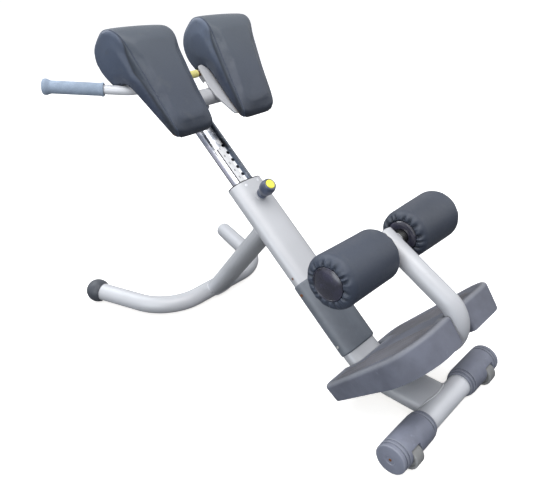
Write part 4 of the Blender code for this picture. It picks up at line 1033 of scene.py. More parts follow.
def make_pull_pin():
    """Welded nut with its bead, barrel knob with a collar, and the domed cap."""
    t = tube_sizes()
    pin = t.pin - 0.006     # a little below the hole that it drops into
    base = tilted((0.0, pin, 0.0), True)
    out = directed((0, 0, 1), True)
    nut = arc_path([(0.0113, 0.0262), (0.0132, 0.0262), (0.0132, 0.0346), (0.0113, 0.0346)],
                   [0, 0, 0.0012, 0.0004], 5, closed=True)
    settle(lathe("pin_nut", nut, base, out, 64, closed=True), "silver_paint", "frame",
           "plunger_nut")
    angle, weld = round_angles(90), 0.0146
    x, u = weld * np.cos(angle), weld * np.sin(angle)
    loop = tilted(np.stack([x, pin + u, oval_height(x, t.wide, t.thick) + 0.0004], 1), True)
    settle(surface("nut_weld", bead_grid(loop, 0.0024, 22, 5), closed=True), "silver_paint",
           "frame")
    knob = arc_path([(0.0113, 0.0655), (0.0113, 0.0393), (0.0155, 0.0393), (0.0157, 0.0490),
                     (0.0151, 0.0500), (0.0151, 0.0512), (0.0162, 0.0520), (0.0214, 0.0665),
                     (0.0213, 0.0800), (0.0182, 0.0900), (0.0139, 0.0902), (0.0137, 0.0862),
                     (0.0046, 0.0860), (0.0046, 0.0655)],
                    [0, 0.0004, 0.0008, 0.0005, 0.0004, 0.0004, 0.0020, 0.020, 0.014, 0.0025,
                     0.0006, 0, 0, 0], 8, closed=True)
    body = [(0, 0.0290), (0.0110, 0.0290), (0.0110, 0.0500), (0, 0.0500)]
    settle(lathe("pin_body", body, base, out, 48), "dark_steel", "frame", "plunger_body")
    base = base - out * 0.004
    settle(lathe("pin_knob", knob, base, out, 96, closed=True), "knob_plastic", "pull_pin",
           "plunger_knob")
    cap = arc_path([(0, 0.0863), (0.0134, 0.0863), (0.0134, 0.0912), (0.0, 0.0942)],
                   [0, 0, 0.0018, 0], 6)
    r = np.linspace(0.0128, 0.0, 10)
    dome = np.stack([r, 0.0912 + 0.0024 * (1 - (r / 0.0134) ** 2)], 1)
    wall = cap[:4]          # up to the start of the round edge, where the dome takes over
    settle(lathe("pin_cap", np.vstack([wall, dome]), base, out, 80), "yellow_plastic",
           "pull_pin", "plunger_knob_cap")


def make_shin_cover():
    """Half-oval moulded cover. Its height over the tube grows from nothing as a quarter circle
    at both ends and along both lower edges, h = sqrt(1 - (1 - d / r)^2), and its back lies in
    the tube's wall and meets the skin at both ends."""
    t = tube_sizes()
    u = t.cover_low + (t.cover_high - t.cover_low) * ease_ends(np.linspace(0, 1, 70))
    angle = math.radians(-13) + math.radians(206) * ease_ends(np.linspace(0, 1, 110))
    c, s = np.cos(angle), np.sin(angle)
    p = 2 / 2.4
    sx, sy = np.sign(c) * np.abs(c) ** p, np.sign(s) * np.abs(s) ** p
    inner = np.stack([sx * (t.wide - 0.0012), sy * (t.thick - 0.0012)], 1)
    outer = np.stack([sx * t.cover_wide, sy * t.cover_thick], 1)
    run = np.concatenate([[0], np.cumsum(np.linalg.norm(np.diff(outer, axis=0), axis=1))])
    edge = np.minimum(run, run[-1] - run)
    rise_round = quarter(edge / 0.0035)
    ends = np.minimum(u - u[0], u[-1] - u)
    rise = quarter(ends / 0.0045)[:, None] * rise_round[None]
    crown = 1 + 0.010 * np.sin(math.pi * (u - u[0]) / (u[-1] - u[0]))
    skin = inner[None] + (outer[None] * crown[:, None, None] - inner[None]) * rise[..., None]
    back = inner[None] * np.where(ends > 0, 0.985, 1.0)[:, None, None]
    ring = np.concatenate([skin, back[:, ::-1]], 1)
    grid = np.stack([ring[..., 0], np.broadcast_to(u[:, None], ring.shape[:2]), ring[..., 1]], 2)
    cover = surface("shin_cover_shell", tilted(grid, True)[:, ::-1], weld=True, smooth=50)
    # painted light: the cover is lighter towards its left side
    store(cover, "worn", np.clip((-0.004 - points_of(cover)[:, 0]) / 0.045, 0, 1) * 0.40)
    settle(cover, "shaded_cover_moulding", "frame", "shin_cover", slot="grey_moulding")
    for height, along in (("low", 0.101), ("high", 0.266)):
        for side, word in SIDES:
            r = 0.0038 if height == "low" else 0.0046
            head = arc_path([(0, 0), (r, 0), (r, 0.0014), (r * 0.62, 0.0020),
                             (r * 0.5, 0.0009), (0, 0.0009)], [0, 0, 0.0006, 0.0004, 0.0003, 0], 5)
            place = tilted((side * (t.cover_wide + 0.0002), along, 0.002), True)
            look = "zinc_steel" if height == "low" else "rusty_steel"
            settle(lathe("cover_head_%s_%s" % (height, word), head, place, (side, 0, 0), 32),
                   look, "frame", "cover_screw_%s_%s" % (height, word), slot="zinc_steel")


# Feet and footplate

def make_front_foot():
    """Front bar, its two moulded end feet with wheel pockets, end screws and wheels."""
    t, f = tube_sizes(), foot_sizes()
    bar = [(0, -0.150), (f.bar, -0.150), (f.bar, 0.150), (0, 0.150)]
    middle = np.array((0.0, t.bar_y, f.bar_z))
    # painted light: the bar takes a lighter copy of the silver paint
    settle(lathe("front_bar", bar, middle, (1, 0, 0), 96), "lit_copy_silver_paint", "frame",
           "front_foot_bar", slot="silver_paint")
    for side, word in SIDES:
        make_end_foot(side, word, t, f)


def make_end_foot(side, word, t, f):
    """A moulded foot: stepped inner flange, two grip rings, a flat end and a wheel pocket."""
    span, r = f.outer - f.inner, f.sleeve
    corners = [(0, 0.058), (f.bar + 0.0004, 0.058), (f.bar + 0.0004, 0.0), (r - 0.0042, 0.0),
               (r - 0.0036, 0.0050), (r - 0.0054, 0.0056), (r - 0.0054, 0.0082),
               (r - 0.0012, 0.0088), (r - 0.0012, 0.0150), (r - 0.0040, 0.0157),
               (r - 0.0040, 0.0180), (r, 0.0188),
               (r, span - 0.0245), (r - 0.0032, span - 0.0236), (r - 0.0032, span - 0.0206),
               (r - 0.0002, span - 0.0198), (r - 0.0002, span - 0.0142),
               (r - 0.0036, span - 0.0134), (r - 0.0036, span - 0.0108),
               (r - 0.0008, span - 0.0100), (r - 0.0008, span), (0.0122, span),
               (0.0112, span - 0.0014), (0, span - 0.0014)]
    radii = [0, 0, 0.001, 0.0012, 0.0002, 0.0008, 0.0008, 0.0008, 0.0012, 0.0008, 0.0008, 0.0012,
             0.0012, 0.0008, 0.0008, 0.0012, 0.0012, 0.0008, 0.0008, 0.0010, 0.0034, 0.0006,
             0.0004, 0]
    sleeve = lathe("end_foot_" + word, arc_path(corners, radii, 5),
                   (side * f.inner, t.bar_y, f.bar_z), (side, 0, 0), 112)
    wheel = np.array((side * f.wheel_x, t.bar_y - f.wheel_ahead, f.wheel_z))
    half, room = 0.0160, f.wheel + 0.0062       # half the wheel's width, the pocket's radius
    deep = half + 0.0022
    pocket = [(0, -deep), (room, -deep), (room, deep), (0, deep)]
    cut(sleeve, lathe("pocket", pocket, wheel, (side, 0, 0), 64))
    settle(sleeve, "foot_moulding", "frame", "foot_sleeve_" + word, slot="grey_moulding")
    tread = arc_path([(0.0043, half - 0.001), (0.0043, 0.001 - half), (0.0115, 0.001 - half),
                      (0.013, 0.004 - half), (0.0205, 0.004 - half), (0.022, -half),
                      (f.wheel, -half), (f.wheel, half), (0.022, half), (0.0205, half - 0.004),
                      (0.013, half - 0.004), (0.0115, half - 0.001)],
                     [0.0004, 0.0004, 0.0006, 0.0006, 0.0008, 0.0006, 0.0032, 0.0032, 0.0006,
                      0.0008, 0.0006, 0.0006], 5, closed=True)
    settle(lathe("roll_wheel_" + word, tread, wheel, (1, 0, 0), 80, closed=True), "wheel_grey",
           "wheel_%s_assembly" % word, "wheel_" + word)
    head = arc_path([(0, -0.0005), (0.0036, -0.0005), (0.0036, 0.0010), (0.0022, 0.0013),
                     (0.0018, 0.0004), (0, 0.0004)], [0, 0, 0.0004, 0.0002, 0.0002, 0], 4)
    place = np.array((side * (f.outer - 0.0012), t.bar_y, f.bar_z))
    settle(lathe("end_screw_" + word, head, place, (side, 0, 0), 28), "rusty_steel", "frame",
           "sleeve_screw_" + word, slot="zinc_steel")


def rear_path(steps=30):
    """Axis of the rear foot: straight across, then two arms splayed to the back."""
    t, f = tube_sizes(), foot_sizes()
    y, end_y = t.bar_y + f.rear_y, t.bar_y + f.rear_end
    corners = [(-f.rear_out, end_y, f.rear_z), (-f.rear_corner, y, f.rear_z),
               (f.rear_corner, y, f.rear_z), (f.rear_out, end_y, f.rear_z)]
    return arc_path(corners, [0, f.rear_bend, f.rear_bend * 0.86, 0], steps)


def make_rear_foot():
    """Bent rear foot with its ball and plug, the strut up to the main tube, and its welds."""
    t, f = tube_sizes(), foot_sizes()
    path = rear_path()
    settle(surface("rear_tube", sweep(path, (0, 0, 1), circle(f.rear, 80)), caps=(True, True)),
           "silver_paint", "frame", "rear_foot_tube")
    out = unit(path[0] - path[1])
    arc = np.linspace(math.asin(-0.022 / f.ball), math.pi / 2, 34)
    skin = f.ball * np.stack([np.cos(arc), np.sin(arc)], 1)
    collar = [(0.0, -0.020), (f.rear - 0.001, -0.0205), (skin[0, 0] - 0.0012, -0.0225)]
    settle(lathe("ball_foot", np.vstack([collar, skin]), path[0] - out * 0.008, out, 96),
           "ball_cap", "frame", "rear_foot_ball_left")
    solid_copy("rear_foot_plug_right", 0.0006)
    start = np.array((0.0, t.bar_y + 0.572, 0.340))     # on the main tube's axis
    end = np.array((0.0, t.bar_y + f.rear_y - 0.004, 0.034))
    section = oval(f.strut_wide, f.strut_thick, 104)
    grid = sweep(np.array([start, end]), (1, 0, 0), section)
    down = unit(end - start)
    ring = grid[0].copy()
    normal = directed((0, 0, 1), True)
    knee = tilted((0.0, 0.0, 0.0), True)
    drop = -oval_height(ring[:, 0], t.wide, t.thick)
    reach = (drop - (ring - knee) @ normal) / float(down @ normal)
    grid[0] = ring + (reach - 0.001)[:, None] * down
    settle(surface("strut_shell", grid, caps=(True, True)), "silver_paint", "frame",
           "rear_strut")
    settle(surface("strut_weld_high", bead_grid(ring + reach[:, None] * down, 0.0026, 50, 7),
                   closed=True), "silver_paint", "frame")
    axis = np.array((0.0, t.bar_y + f.rear_y, f.rear_z))
    gap = ring - axis
    gap[:, 0] = 0.0
    b = gap @ down
    c = (gap ** 2).sum(1) - f.rear ** 2
    near = -b - np.sqrt(np.maximum(b * b - c, 0.0))
    settle(surface("strut_weld_low", bead_grid(ring + near[:, None] * down, 0.0027, 50, 11),
                   closed=True), "silver_paint", "frame")


def plate_outline(inset, draft):
    """The footplate's outline across and off the slope, clockwise, with a notch for the arm at
    the back and one for the main tube at the front; inset moves it inwards along its normals."""
    t, f = tube_sizes(), foot_sizes()
    notch, tube_half = 0.0295, t.wide + 0.0045
    back = f.plate_back - draft

    def half(reach, rise, radius):
        """Corners of one side, with their radii."""
        return [(notch, back - 0.028, 0.012), (notch, back, 0.006),
                (f.plate_half + reach - draft / 2, back + rise, radius),
                (f.plate_front - draft / 2, 0.0, 0.042), (tube_half, 0.0, 0.006),
                (tube_half, 0.0605, 0.012)]

    corners = half(0.021, 0.006, 0.082)
    corners += [(-x, y, r) for x, y, r in reversed(half(0.013, 0.004, 0.105))]
    path = arc_path([(x, y) for x, y, _ in corners], [r for _, _, r in corners], 12, closed=True)
    before = unit(path - np.roll(path, 1, 0))
    after = unit(np.roll(path, -1, 0) - path)
    normal = unit(np.stack([before[:, 1] + after[:, 1], -before[:, 0] - after[:, 0]], 1))
    return path + normal * inset


def make_footplate():
    """Footplate: a shell whose rings run from the inside of the skirt round its lower edge, up
    the outside, over a rounded rim and down a small step to the ribbed face."""
    f = foot_sizes()

    def ring(along, inset, draft=0.0):
        """The outline at a place along the slope, which may change with the way off it."""
        line = plate_outline(inset, draft)
        height = along(line[:, 1]) if callable(along) else np.full(len(line), along)
        return np.stack([line[:, 0], height, line[:, 1]], 1)

    def lower(lift):
        """Where the skirt's lower edge lies: a little deeper towards the tube."""
        return lambda off: f.plate - f.skirt + lift + (f.plate_back - off) * 0.07

    top, rim = f.plate, 0.0088
    crest = top + 0.0026
    rows = [ring(top - 0.0040, 0.0040), ring(lower(0.0), 0.0036, f.draft),
            ring(lower(-0.0004), 0.0018, f.draft), ring(lower(0.0), 0.0002, f.draft),
            ring(lower(0.0020), 0.0, f.draft)]
    rows += [ring(lambda off, s=s: (1 - s) * lower(0.0)(off) + s * (crest - rim), 0.0,
                  f.draft * (1 - s)) for s in (0.25, 0.5, 0.75, 0.95)]
    rows += [ring(crest - rim * (1 - math.sin(turn)), rim * (1 - math.cos(turn)))
             for turn in np.radians((0, 12, 24, 36, 48, 60, 72, 84))]
    rows += [ring(crest, 0.0120), ring(top + 0.0022, 0.0180), ring(top + 0.0010, 0.0215),
             ring(top, 0.0240), ring(top, 0.0246)]
    grid = tilted(np.array(rows))
    piece = surface("footplate_shell", grid, smooth=38)
    close_with_face(piece, len(grid[0]), len(grid))
    # lighter over the rim's turn: partly rubbed wear, partly a painted highlight along the rim
    worn = [0.0] * 9 + [0.1, 0.3, 0.5, 0.7, 0.85, 0.9, 0.85, 0.75, 0.6, 0.45, 0.2, 0.0, 0.0]
    store(piece, "worn", np.repeat(worn, len(grid[0])))
    settle(piece, "grey_moulding", "frame", "footplate")
    make_ribs(f)


def close_with_face(piece, cols, rows):
    """Close a surface's first and last ring with one flat face each, turned outwards."""
    bm = bmesh.new()
    bm.from_mesh(piece.data)
    bm.verts.ensure_lookup_table()
    first = [bm.verts[k] for k in range(cols)]
    last = [bm.verts[(rows - 1) * cols + k] for k in range(cols)]
    made = [bm.faces.new(list(reversed(first))), bm.faces.new(last)]
    for face in bm.faces:
        face.smooth = face not in made
    bmesh.ops.triangulate(bm, faces=made)
    bmesh.ops.recalc_face_normals(bm, faces=bm.faces)
    bm.to_mesh(piece.data)
    bm.free()


def make_ribs(f):
    """Low ribs off the tube: half-round bars whose height falls to nothing at their ends. Wide
    and thin ones take turns."""
    ribs, steps = [], 24
    for k in range(6):
        for part, section in ((0.0, oval(0.0026, 0.0015, 16, 2.0)),
                              (0.5, oval(0.0016, 0.0010, 16, 2.0))):
            x = f.rib_first + k * f.rib_pitch + part * f.rib_pitch
            if x > f.plate_half - 0.034:
                continue
            start = 0.0855 if x < 0.076 else 0.028
            end = f.plate_back - 0.028 - max(0.0, x - 0.122) * 0.85
            s = np.linspace(0, 1, steps)[:, None]
            height = quarter(np.minimum(s, 1 - s) * (end - start) / 0.006)
            bar = np.stack([x + section[:, 0] * (0.4 + 0.6 * height),
                            f.plate + section[:, 1] * height,
                            np.broadcast_to(start + (end - start) * s, (steps, 16))], 2)
            for grid in (bar, bar[:, ::-1] * (-1.0, 1.0, 1.0)):
                ribs.append(surface("rib", tilted(grid)[:, ::-1], caps=(True, True)))
    settle(merged("footplate_ribs", ribs), "rib_moulding", "frame", slot="grey_moulding")


# Roller arm and rollers

def arm_path():
    """Axis of the roller arm across, along and off the slope."""
    s = seat_sizes()
    return arc_path([(0.0, s.arm_low, 0.045), (0.0, s.arm_low, s.arm_corner),
                     (s.roller_shift, s.arm_top, s.arm_lean)], [0, s.arm_bend, 0], 34)


def arm_off(along):
    """How far off the slope the arm's upper run lies."""
    s = seat_sizes()
    return s.arm_corner + (s.arm_lean - s.arm_corner) * (along - s.arm_low) / \
        (s.arm_top - s.arm_low)


def make_arm():
    """Round arm with its domed end, and the bracket under the footplate."""
    s, t = seat_sizes(), tube_sizes()
    path = arm_path()
    grid = sweep(tilted(path), (1, 0, 0), circle(s.arm, 88))
    out = unit(tilted(path[-1]) - tilted(path[-2]))
    angle = np.linspace(0.25, 1.5, 8)
    dome, rise = np.cos(angle), 0.0065 * np.sin(angle)
    centre = tilted(path[-1])
    cap = centre + (grid[-1] - centre)[None] * (0.90 * dome + 0.10 * dome ** 4)[:, None, None] \
        + rise[:, None, None] * out
    settle(surface("arm_tube", np.concatenate([grid, cap]), caps=(True, True), smooth=55),
           "silver_paint", "frame", "roller_arm", "roller_arm_plug")
    solid_copy("footplate_bracket", 0.0008)
    settle(surface("arm_weld", bead_grid(arm_foot(grid[0], t), 0.0028, 30, 13), closed=True),
           "silver_paint", "frame")
    roller_axis = tilted((s.roller_shift * 0.9, s.roller_along, arm_off(s.roller_along)))
    for side, word in SIDES:
        collar = arc_path([(0.0127, 0.0), (0.0165, 0.0), (0.0165, 0.0022), (0.0127, 0.0026)],
                          [0, 0.0004, 0.0008, 0.0003], 4, closed=True)
        settle(lathe("axle_weld_" + word, collar, roller_axis + np.array((side * 0.0236, 0, 0)),
                     (side, 0, 0), 48, closed=True), "silver_paint", "frame")


def arm_foot(ring, t):
    """Where the arm's ring, moved along the arm, meets the main tube's bend from outside."""
    reach = np.linspace(-0.02, 0.10, 160)
    line = ring[:, None] + reach[:, None] * directed((0, 0, 1))
    near = np.linalg.norm(line[:, :, None, 1:] - tube_path()[:, 1:], axis=3).min(2)
    inside = near < oval_height(ring[:, :1], t.wide, t.thick)
    last = len(reach) - 1 - np.argmax(inside[:, ::-1], axis=1)
    found = line[np.arange(len(ring)), last]
    return np.where(inside.any(1)[:, None], found, ring)


def make_rollers():
    """Two padded rollers with gathered ends, domed outer discs and ringed inner discs."""
    s = seat_sizes()
    centre = tilted((s.roller_shift, s.roller_along, arm_off(s.roller_along)))
    for side, word in SIDES:
        make_cover(side, word, centre, s)
        make_discs(side, word, centre, s)
    solid_copy("roller_axle", 0.0006)


def make_cover(side, word, centre, s):
    """A roller's cover: a profile turned about the axle and moved along its normal by gathers.
    The left one grows and droops a little towards its inner end."""
    r, disc, start, end = s.roller, s.disc, s.roller_inner, s.roller_outer + roller_reach(side)
    core = 0.0172
    corners = [(core, start + 0.0043), (disc + 0.0008, start + 0.0043),
               (disc + 0.0006, start + 0.0002), (r - 0.0032, start - 0.0004), (r + 0.0004, end),
               (disc + 0.0006, end + 0.0014), (disc + 0.0008, end - 0.0075), (core, end - 0.0075)]
    profile = arc_path(corners, [0, 0.0002, 0.0022, 0.0190, 0.0200, 0.0022, 0.0002, 0], 20,
                       closed=True)
    profile = dense(profile, 0.0024)
    steps = 280
    angle = round_angles(steps)
    radius, height = profile.T
    share = (height - start) / (end - start)
    move = gathers(radius, height, angle, (start, end), s, np.random.default_rng(21 + side))
    slow = 0.0005 * np.sin(2 * angle + 0.7)[None] * np.sin(math.pi * share)[:, None]
    move += np.where((radius > r - 0.003)[:, None], slow, 0.0)
    tangent = loop_tangent(profile)
    inward = np.clip(1 - share, 0, 1) * np.clip((radius - disc) / 0.02, 0, 1)
    droop = inward[:, None] * (1.0 if side < 0 else 0.0)
    axis = np.array((side, 0.0, 0.0))
    out = radius[:, None] + tangent[:, 1:] * move + droop * 0.0024
    along = height[:, None] - tangent[:, :1] * move
    grid = centre + along[..., None] * axis + out[..., None] * spokes(axis, steps)
    grid[..., 2] -= droop * 0.0050
    cover = surface("roller_cover_" + word, grid, closed=True, smooth=80)
    store(cover, "band", 0.35)
    # painted shade in the creases: the deeper the crease, the darker
    store(cover, "seam_and_crease_shade", np.clip(-move.ravel() / 0.0030, 0, 1) * 0.6)
    # painted shade: the whole cover is darker, the right one more
    store(cover, "deep", 0.20 if side < 0 else 0.38)
    settle(cover, "leatherette", "roller_%s_assembly" % word, "roller_foam_" + word)


def gathers(radius, height, angle, ends, s, rng):
    """How far a roller's skin moves at each place of its profile and turn: at each crease
    d = -depth exp(-(arc / width)^2) fade(q), with a small puff on both sides of it, where q is
    the way along the skin from the disc."""
    move = np.zeros((len(radius), len(angle)))
    from_disc = np.maximum(radius - s.disc, 0.0)
    tuck = np.clip(from_disc / 0.004, 0.25, 1.0)
    for at_end in (ends[0] - height, height - ends[1]):
        near = (at_end > -0.045) * (radius > s.disc - 0.0005) * tuck
        q = from_disc + np.where(radius > s.roller - 0.012, np.maximum(-at_end, 0.0), 0.0)
        creases = round_angles(GATHERS) + rng.uniform(-0.33, 0.33, GATHERS) * 2 * math.pi / GATHERS
        for crease in creases:
            depth, width = rng.uniform(0.0030, 0.0062), rng.uniform(0.0017, 0.0031)
            lean, span = rng.uniform(-5.0, 5.0), rng.uniform(0.75, 1.35)
            bent = (crease + lean * (q - 0.008))[:, None]
            arc = np.angle(np.exp(1j * (angle - bent))) * np.maximum(radius, s.disc)[:, None]
            wide = width * (1 + q[:, None] * 55)
            fade = depth * (np.exp(-(q / (0.0165 * span)) ** 2) * near)[:, None]
            move -= fade * np.exp(-(arc / wide) ** 2)
            move += 0.30 * fade * np.exp(-((np.abs(arc) - 2.1 * wide) / wide) ** 2)
        move += 0.0009 * (np.exp(-(q / 0.026) ** 2) * near)[:, None]
    return move


def roller_reach(side):
    """How much further out than the solid a roller's outer end lies."""
    return 0.0065 if side < 0 else -0.0085


def make_discs(side, word, centre, s):
    """The domed outer disc with a rim line, the ringed inner disc, the axle's end screw."""
    axis, disc, end, start = (side, 0, 0), s.disc, s.roller_outer, s.roller_inner
    body = "roller_%s_assembly" % word
    end += roller_reach(side)
    low = disc - 0.0042
    r = np.linspace(low, 0.0, 26)
    dome = np.stack([r, end + 0.0018 + 0.0066 * (1 - (r / low) ** 2.3)], 1)
    rim = arc_path([(0, end - 0.0072), (disc, end - 0.0072), (disc, end + 0.0012),
                    (disc - 0.0022, end + 0.0028), (disc - 0.0034, end + 0.0014)],
                   [0, 0.0004, 0.0016, 0.0010, 0.0003], 6)
    settle(lathe("disc_outer_" + word, np.vstack([rim, dome]), centre, axis, 120, 50),
           "disc_plastic", body, "roller_disc_outer_" + word)
    ring = arc_path([(0.0170, start + 0.0040), (0.0170, start + 0.0004), (0.0198, start + 0.0002),
                     (0.0204, start - 0.0036), (0.0292, start - 0.0042), (0.0352, start - 0.0024),
                     (disc, start + 0.0006), (disc, start + 0.0040)],
                    [0, 0.0004, 0.0006, 0.0010, 0.0020, 0.0020, 0.0012, 0], 5, closed=True)
    settle(lathe("disc_inner_" + word, ring, centre, axis, 96, closed=True), "disc_plastic",
           body, "roller_disc_inner_" + word)
    solid_copy("axle_screw_" + word, 0.0004)


# Pads, handles and what carries them

def pad_edges(along):
    """Inner and outer edge of a pad, from the bench's middle, at a place along the slope. Both
    are straight and spread towards the nose."""
    past = along - 0.755
    return 0.0520 + past * 0.020, 0.188 + past * 0.172


def pad_profile(under):
    """A pad from the side: a wedge that rises to a thick nose and hooks over its board."""
    corners = [(PAD_LOW, under), (PAD_LOW, 0.1075), (1.053, 0.2015), (1.053, 0.029),
               (0.950, 0.036), (0.938, under)]
    return arc_path(corners, [0.003, 0.0195, 0.055, 0.066, 0.018, 0.004], closed=True)


def pad_grid(side, under):
    """A pad's skin: its profile, moved in by a quarter circle near both sides, at stations
    across. P = (inner + (outer - inner) s, profile moved in by r - sqrt(r^2 - (r - d)^2))."""
    profile = dense(pad_profile(under), 0.004)
    tangent = loop_tangent(profile)
    inward = np.stack([tangent[:, 1], -tangent[:, 0]], 1)
    rows = []
    radius, round_low, slack = 0.009, 0.026, 0.0022     # slack leaves room to swell
    for share in np.concatenate([[0.0, 0.008, 0.025, 0.05], np.linspace(0.10, 0.90, 9),
                                 [0.95, 0.975, 0.992, 1.0]]):
        inner, outer = pad_edges(profile[:, 0])
        low = round_low * (1 - quarter((profile[:, 0] - PAD_LOW) / round_low))
        inner, outer = inner + slack + low, outer - slack - low
        away = min(share, 1 - share) * 0.15
        inset = radius * (1 - float(quarter(away / radius))) + slack
        line = profile + inward * inset
        nose = np.clip((line[:, 0] - 0.86) / 0.17, 0, 1) ** 2
        turn = side * (2 * share - 1)
        rows.append(np.stack([side * (inner + (outer - inner) * share) - 0.005 * nose,
                              line[:, 0] + (0.001 - 0.006 * turn) * nose, line[:, 1]], 1))
    return np.array(rows)


def make_pads():
    """Two stuffed hip pads: cloth under pressure over a wedge of even quads, held close to it and
    crowned, with the tones of its bands, painted light and shade on its face and sides, and
    piping along both sides."""
    s = seat_sizes()
    for side, word in SIDES:
        grid = tilted(pad_grid(side, s.pad_under))
        pad = surface("pad_cushion_" + word, grid if side < 0 else grid[:, ::-1],
                      caps=(True, True))
        even = pad.modifiers.new("even", "REMESH")
        even.mode = "VOXEL"
        even.voxel_size = 0.005
        even.use_smooth_shade = True
        apply_all(pad)
        before = points_of(pad)
        swell(pad, s)
        shape_pad(pad, before, cap=0.0055)
        smoother = pad.modifiers.new("smooth", "SUBSURF")
        smoother.levels = smoother.render_levels = 1
        apply_all(pad)
        paint_pad(pad, side)
        settle(pad, "leatherette", "carriage", "hip_pad_" + word)
        make_piping(pad, side, word, s)


def swell(pad, s):
    """Some frames of cloth with pressure inside and no gravity, held over its board."""
    cloth = pad.modifiers.new("stuffing", "CLOTH")
    settings = cloth.settings
    settings.quality = 6
    settings.mass = 0.35
    settings.tension_stiffness = settings.compression_stiffness = 22.0
    settings.bending_stiffness = 3.0
    settings.use_pressure = True
    settings.uniform_pressure_force = 4.0
    settings.effector_weights.gravity = 0.0
    cloth.collision_settings.use_collision = False
    cloth.point_cache.frame_start, cloth.point_cache.frame_end = 1, CLOTH_FRAMES
    held = pad.vertex_groups.new(name="board")
    local = sloped(points_of(pad))
    under = np.nonzero((local[:, 2] < s.pad_under + 0.004) & (local[:, 1] < 0.940))[0]
    held.add(under.tolist(), 1.0, "REPLACE")
    settings.vertex_group_mass = "board"
    for step in range(1, CLOTH_FRAMES + 1):
        bpy.context.scene.frame_set(step)
    apply_all(pad)
    bpy.context.scene.frame_set(1)


def shape_pad(pad, before, cap):
    """Hold each point within a cap of where it was, and crown the padded face."""
    after = points_of(pad)
    move = relaxed(pad, after - before)
    size = np.linalg.norm(move, axis=1, keepdims=True)
    move *= np.minimum(1.0, cap / np.maximum(size, 1e-9))
    local = sloped(before)
    inner, outer = pad_edges(local[:, 1])
    across = np.clip((np.abs(local[:, 0]) - inner) / (outer - inner), 0, 1)
    high = np.clip((local[:, 2] - 0.098) / 0.020, 0, 1)
    crown = 0.0045 * (4 * across * (1 - across)) ** 0.6 * high
    rows = np.stack([0 * crown, 0.25 * crown, crown], 1)
    lift = tilted(rows) - tilted(np.zeros_like(rows))
    pad.data.vertices.foreach_set("co", (before + move + lift).ravel())
    pad.data.update()


def relaxed(piece, values, rounds=14):
    """Values on the points, each time averaged with those along the edges."""
    pairs = np.empty(len(piece.data.edges) * 2, int)
    piece.data.edges.foreach_get("vertices", pairs)
    first, second = pairs.reshape(-1, 2).T
    count = np.bincount(pairs, minlength=len(values))[:, None]
    for _ in range(rounds):
        total = np.zeros_like(values)
        np.add.at(total, first, values[second])
        np.add.at(total, second, values[first])
        values = (values + total / np.maximum(count, 1)) / 2
    return values


def paint_pad(pad, side):
    """Where the side bands and the sewn line by them lie, where the face gets a painted
    highlight towards its upper end and painted shade at its low end, and where the left side
    gets a painted bluish light near the nose.
    """
    local = sloped(points_of(pad))
    inner, outer = pad_edges(local[:, 1])
    edge = np.minimum(np.abs(local[:, 0]) - inner, outer - np.abs(local[:, 0]))
    store(pad, "band", np.clip((0.0062 - edge) / 0.002, 0, 1) * 0.9)
    store(pad, "seam_and_crease_shade", np.clip(1 - np.abs(edge - 0.0045) / 0.0022, 0, 1))
    share = np.clip((local[:, 1] - PAD_LOW) / 0.31, 0, 1)
    # painted highlight: the face grows lighter towards the nose, more on the right pad
    store(pad, "pale", np.clip((share - 0.35) / 0.6, 0, 1) * (0.75 if side < 0 else 1.0))
    # painted shade: the face darkens towards its low end
    store(pad, "deep", np.clip((0.16 - share) / 0.16, 0, 1) * 0.85)
    left = np.clip(-(local[:, 0] - side * (inner + outer) / 2) / 0.03, 0, 1)
    # painted light: a bluish glow on the left side near the nose, more on the right pad
    store(pad, "bloom", np.clip((share - 0.45) / 0.4, 0, 1) * left * (0.55 if side < 0 else 1.0))


def make_piping(pad, side, word, s):
    """A thin piped seam along each side of a pad, laid on the swollen skin."""
    bm = bmesh.new()
    bm.from_mesh(pad.data)
    tree = BVHTree.FromBMesh(bm)
    bm.free()
    profile = dense(pad_profile(s.pad_under), 0.005)
    for take, place in ((0, "inner"), (1, "outer")):
        x = pad_edges(profile[:, 0])[take] + 0.0042 * (1 - 2 * take)
        loop = tilted(np.stack([side * x, profile[:, 0], profile[:, 1]], 1))
        found = np.array([tree.find_nearest(tuple(point))[0][:] for point in loop])
        for _ in range(6):
            found = (np.roll(found, 1, 0) + 2 * found + np.roll(found, -1, 0)) / 4
        piping = surface("pad_piping_%s_%s" % (place, word), cord_grid(found, 0.00155),
                         closed=True)
        store(piping, "band", 0.8)
        store(piping, "seam_and_crease_shade", 0.0)
        settle(piping, "leatherette", "carriage")


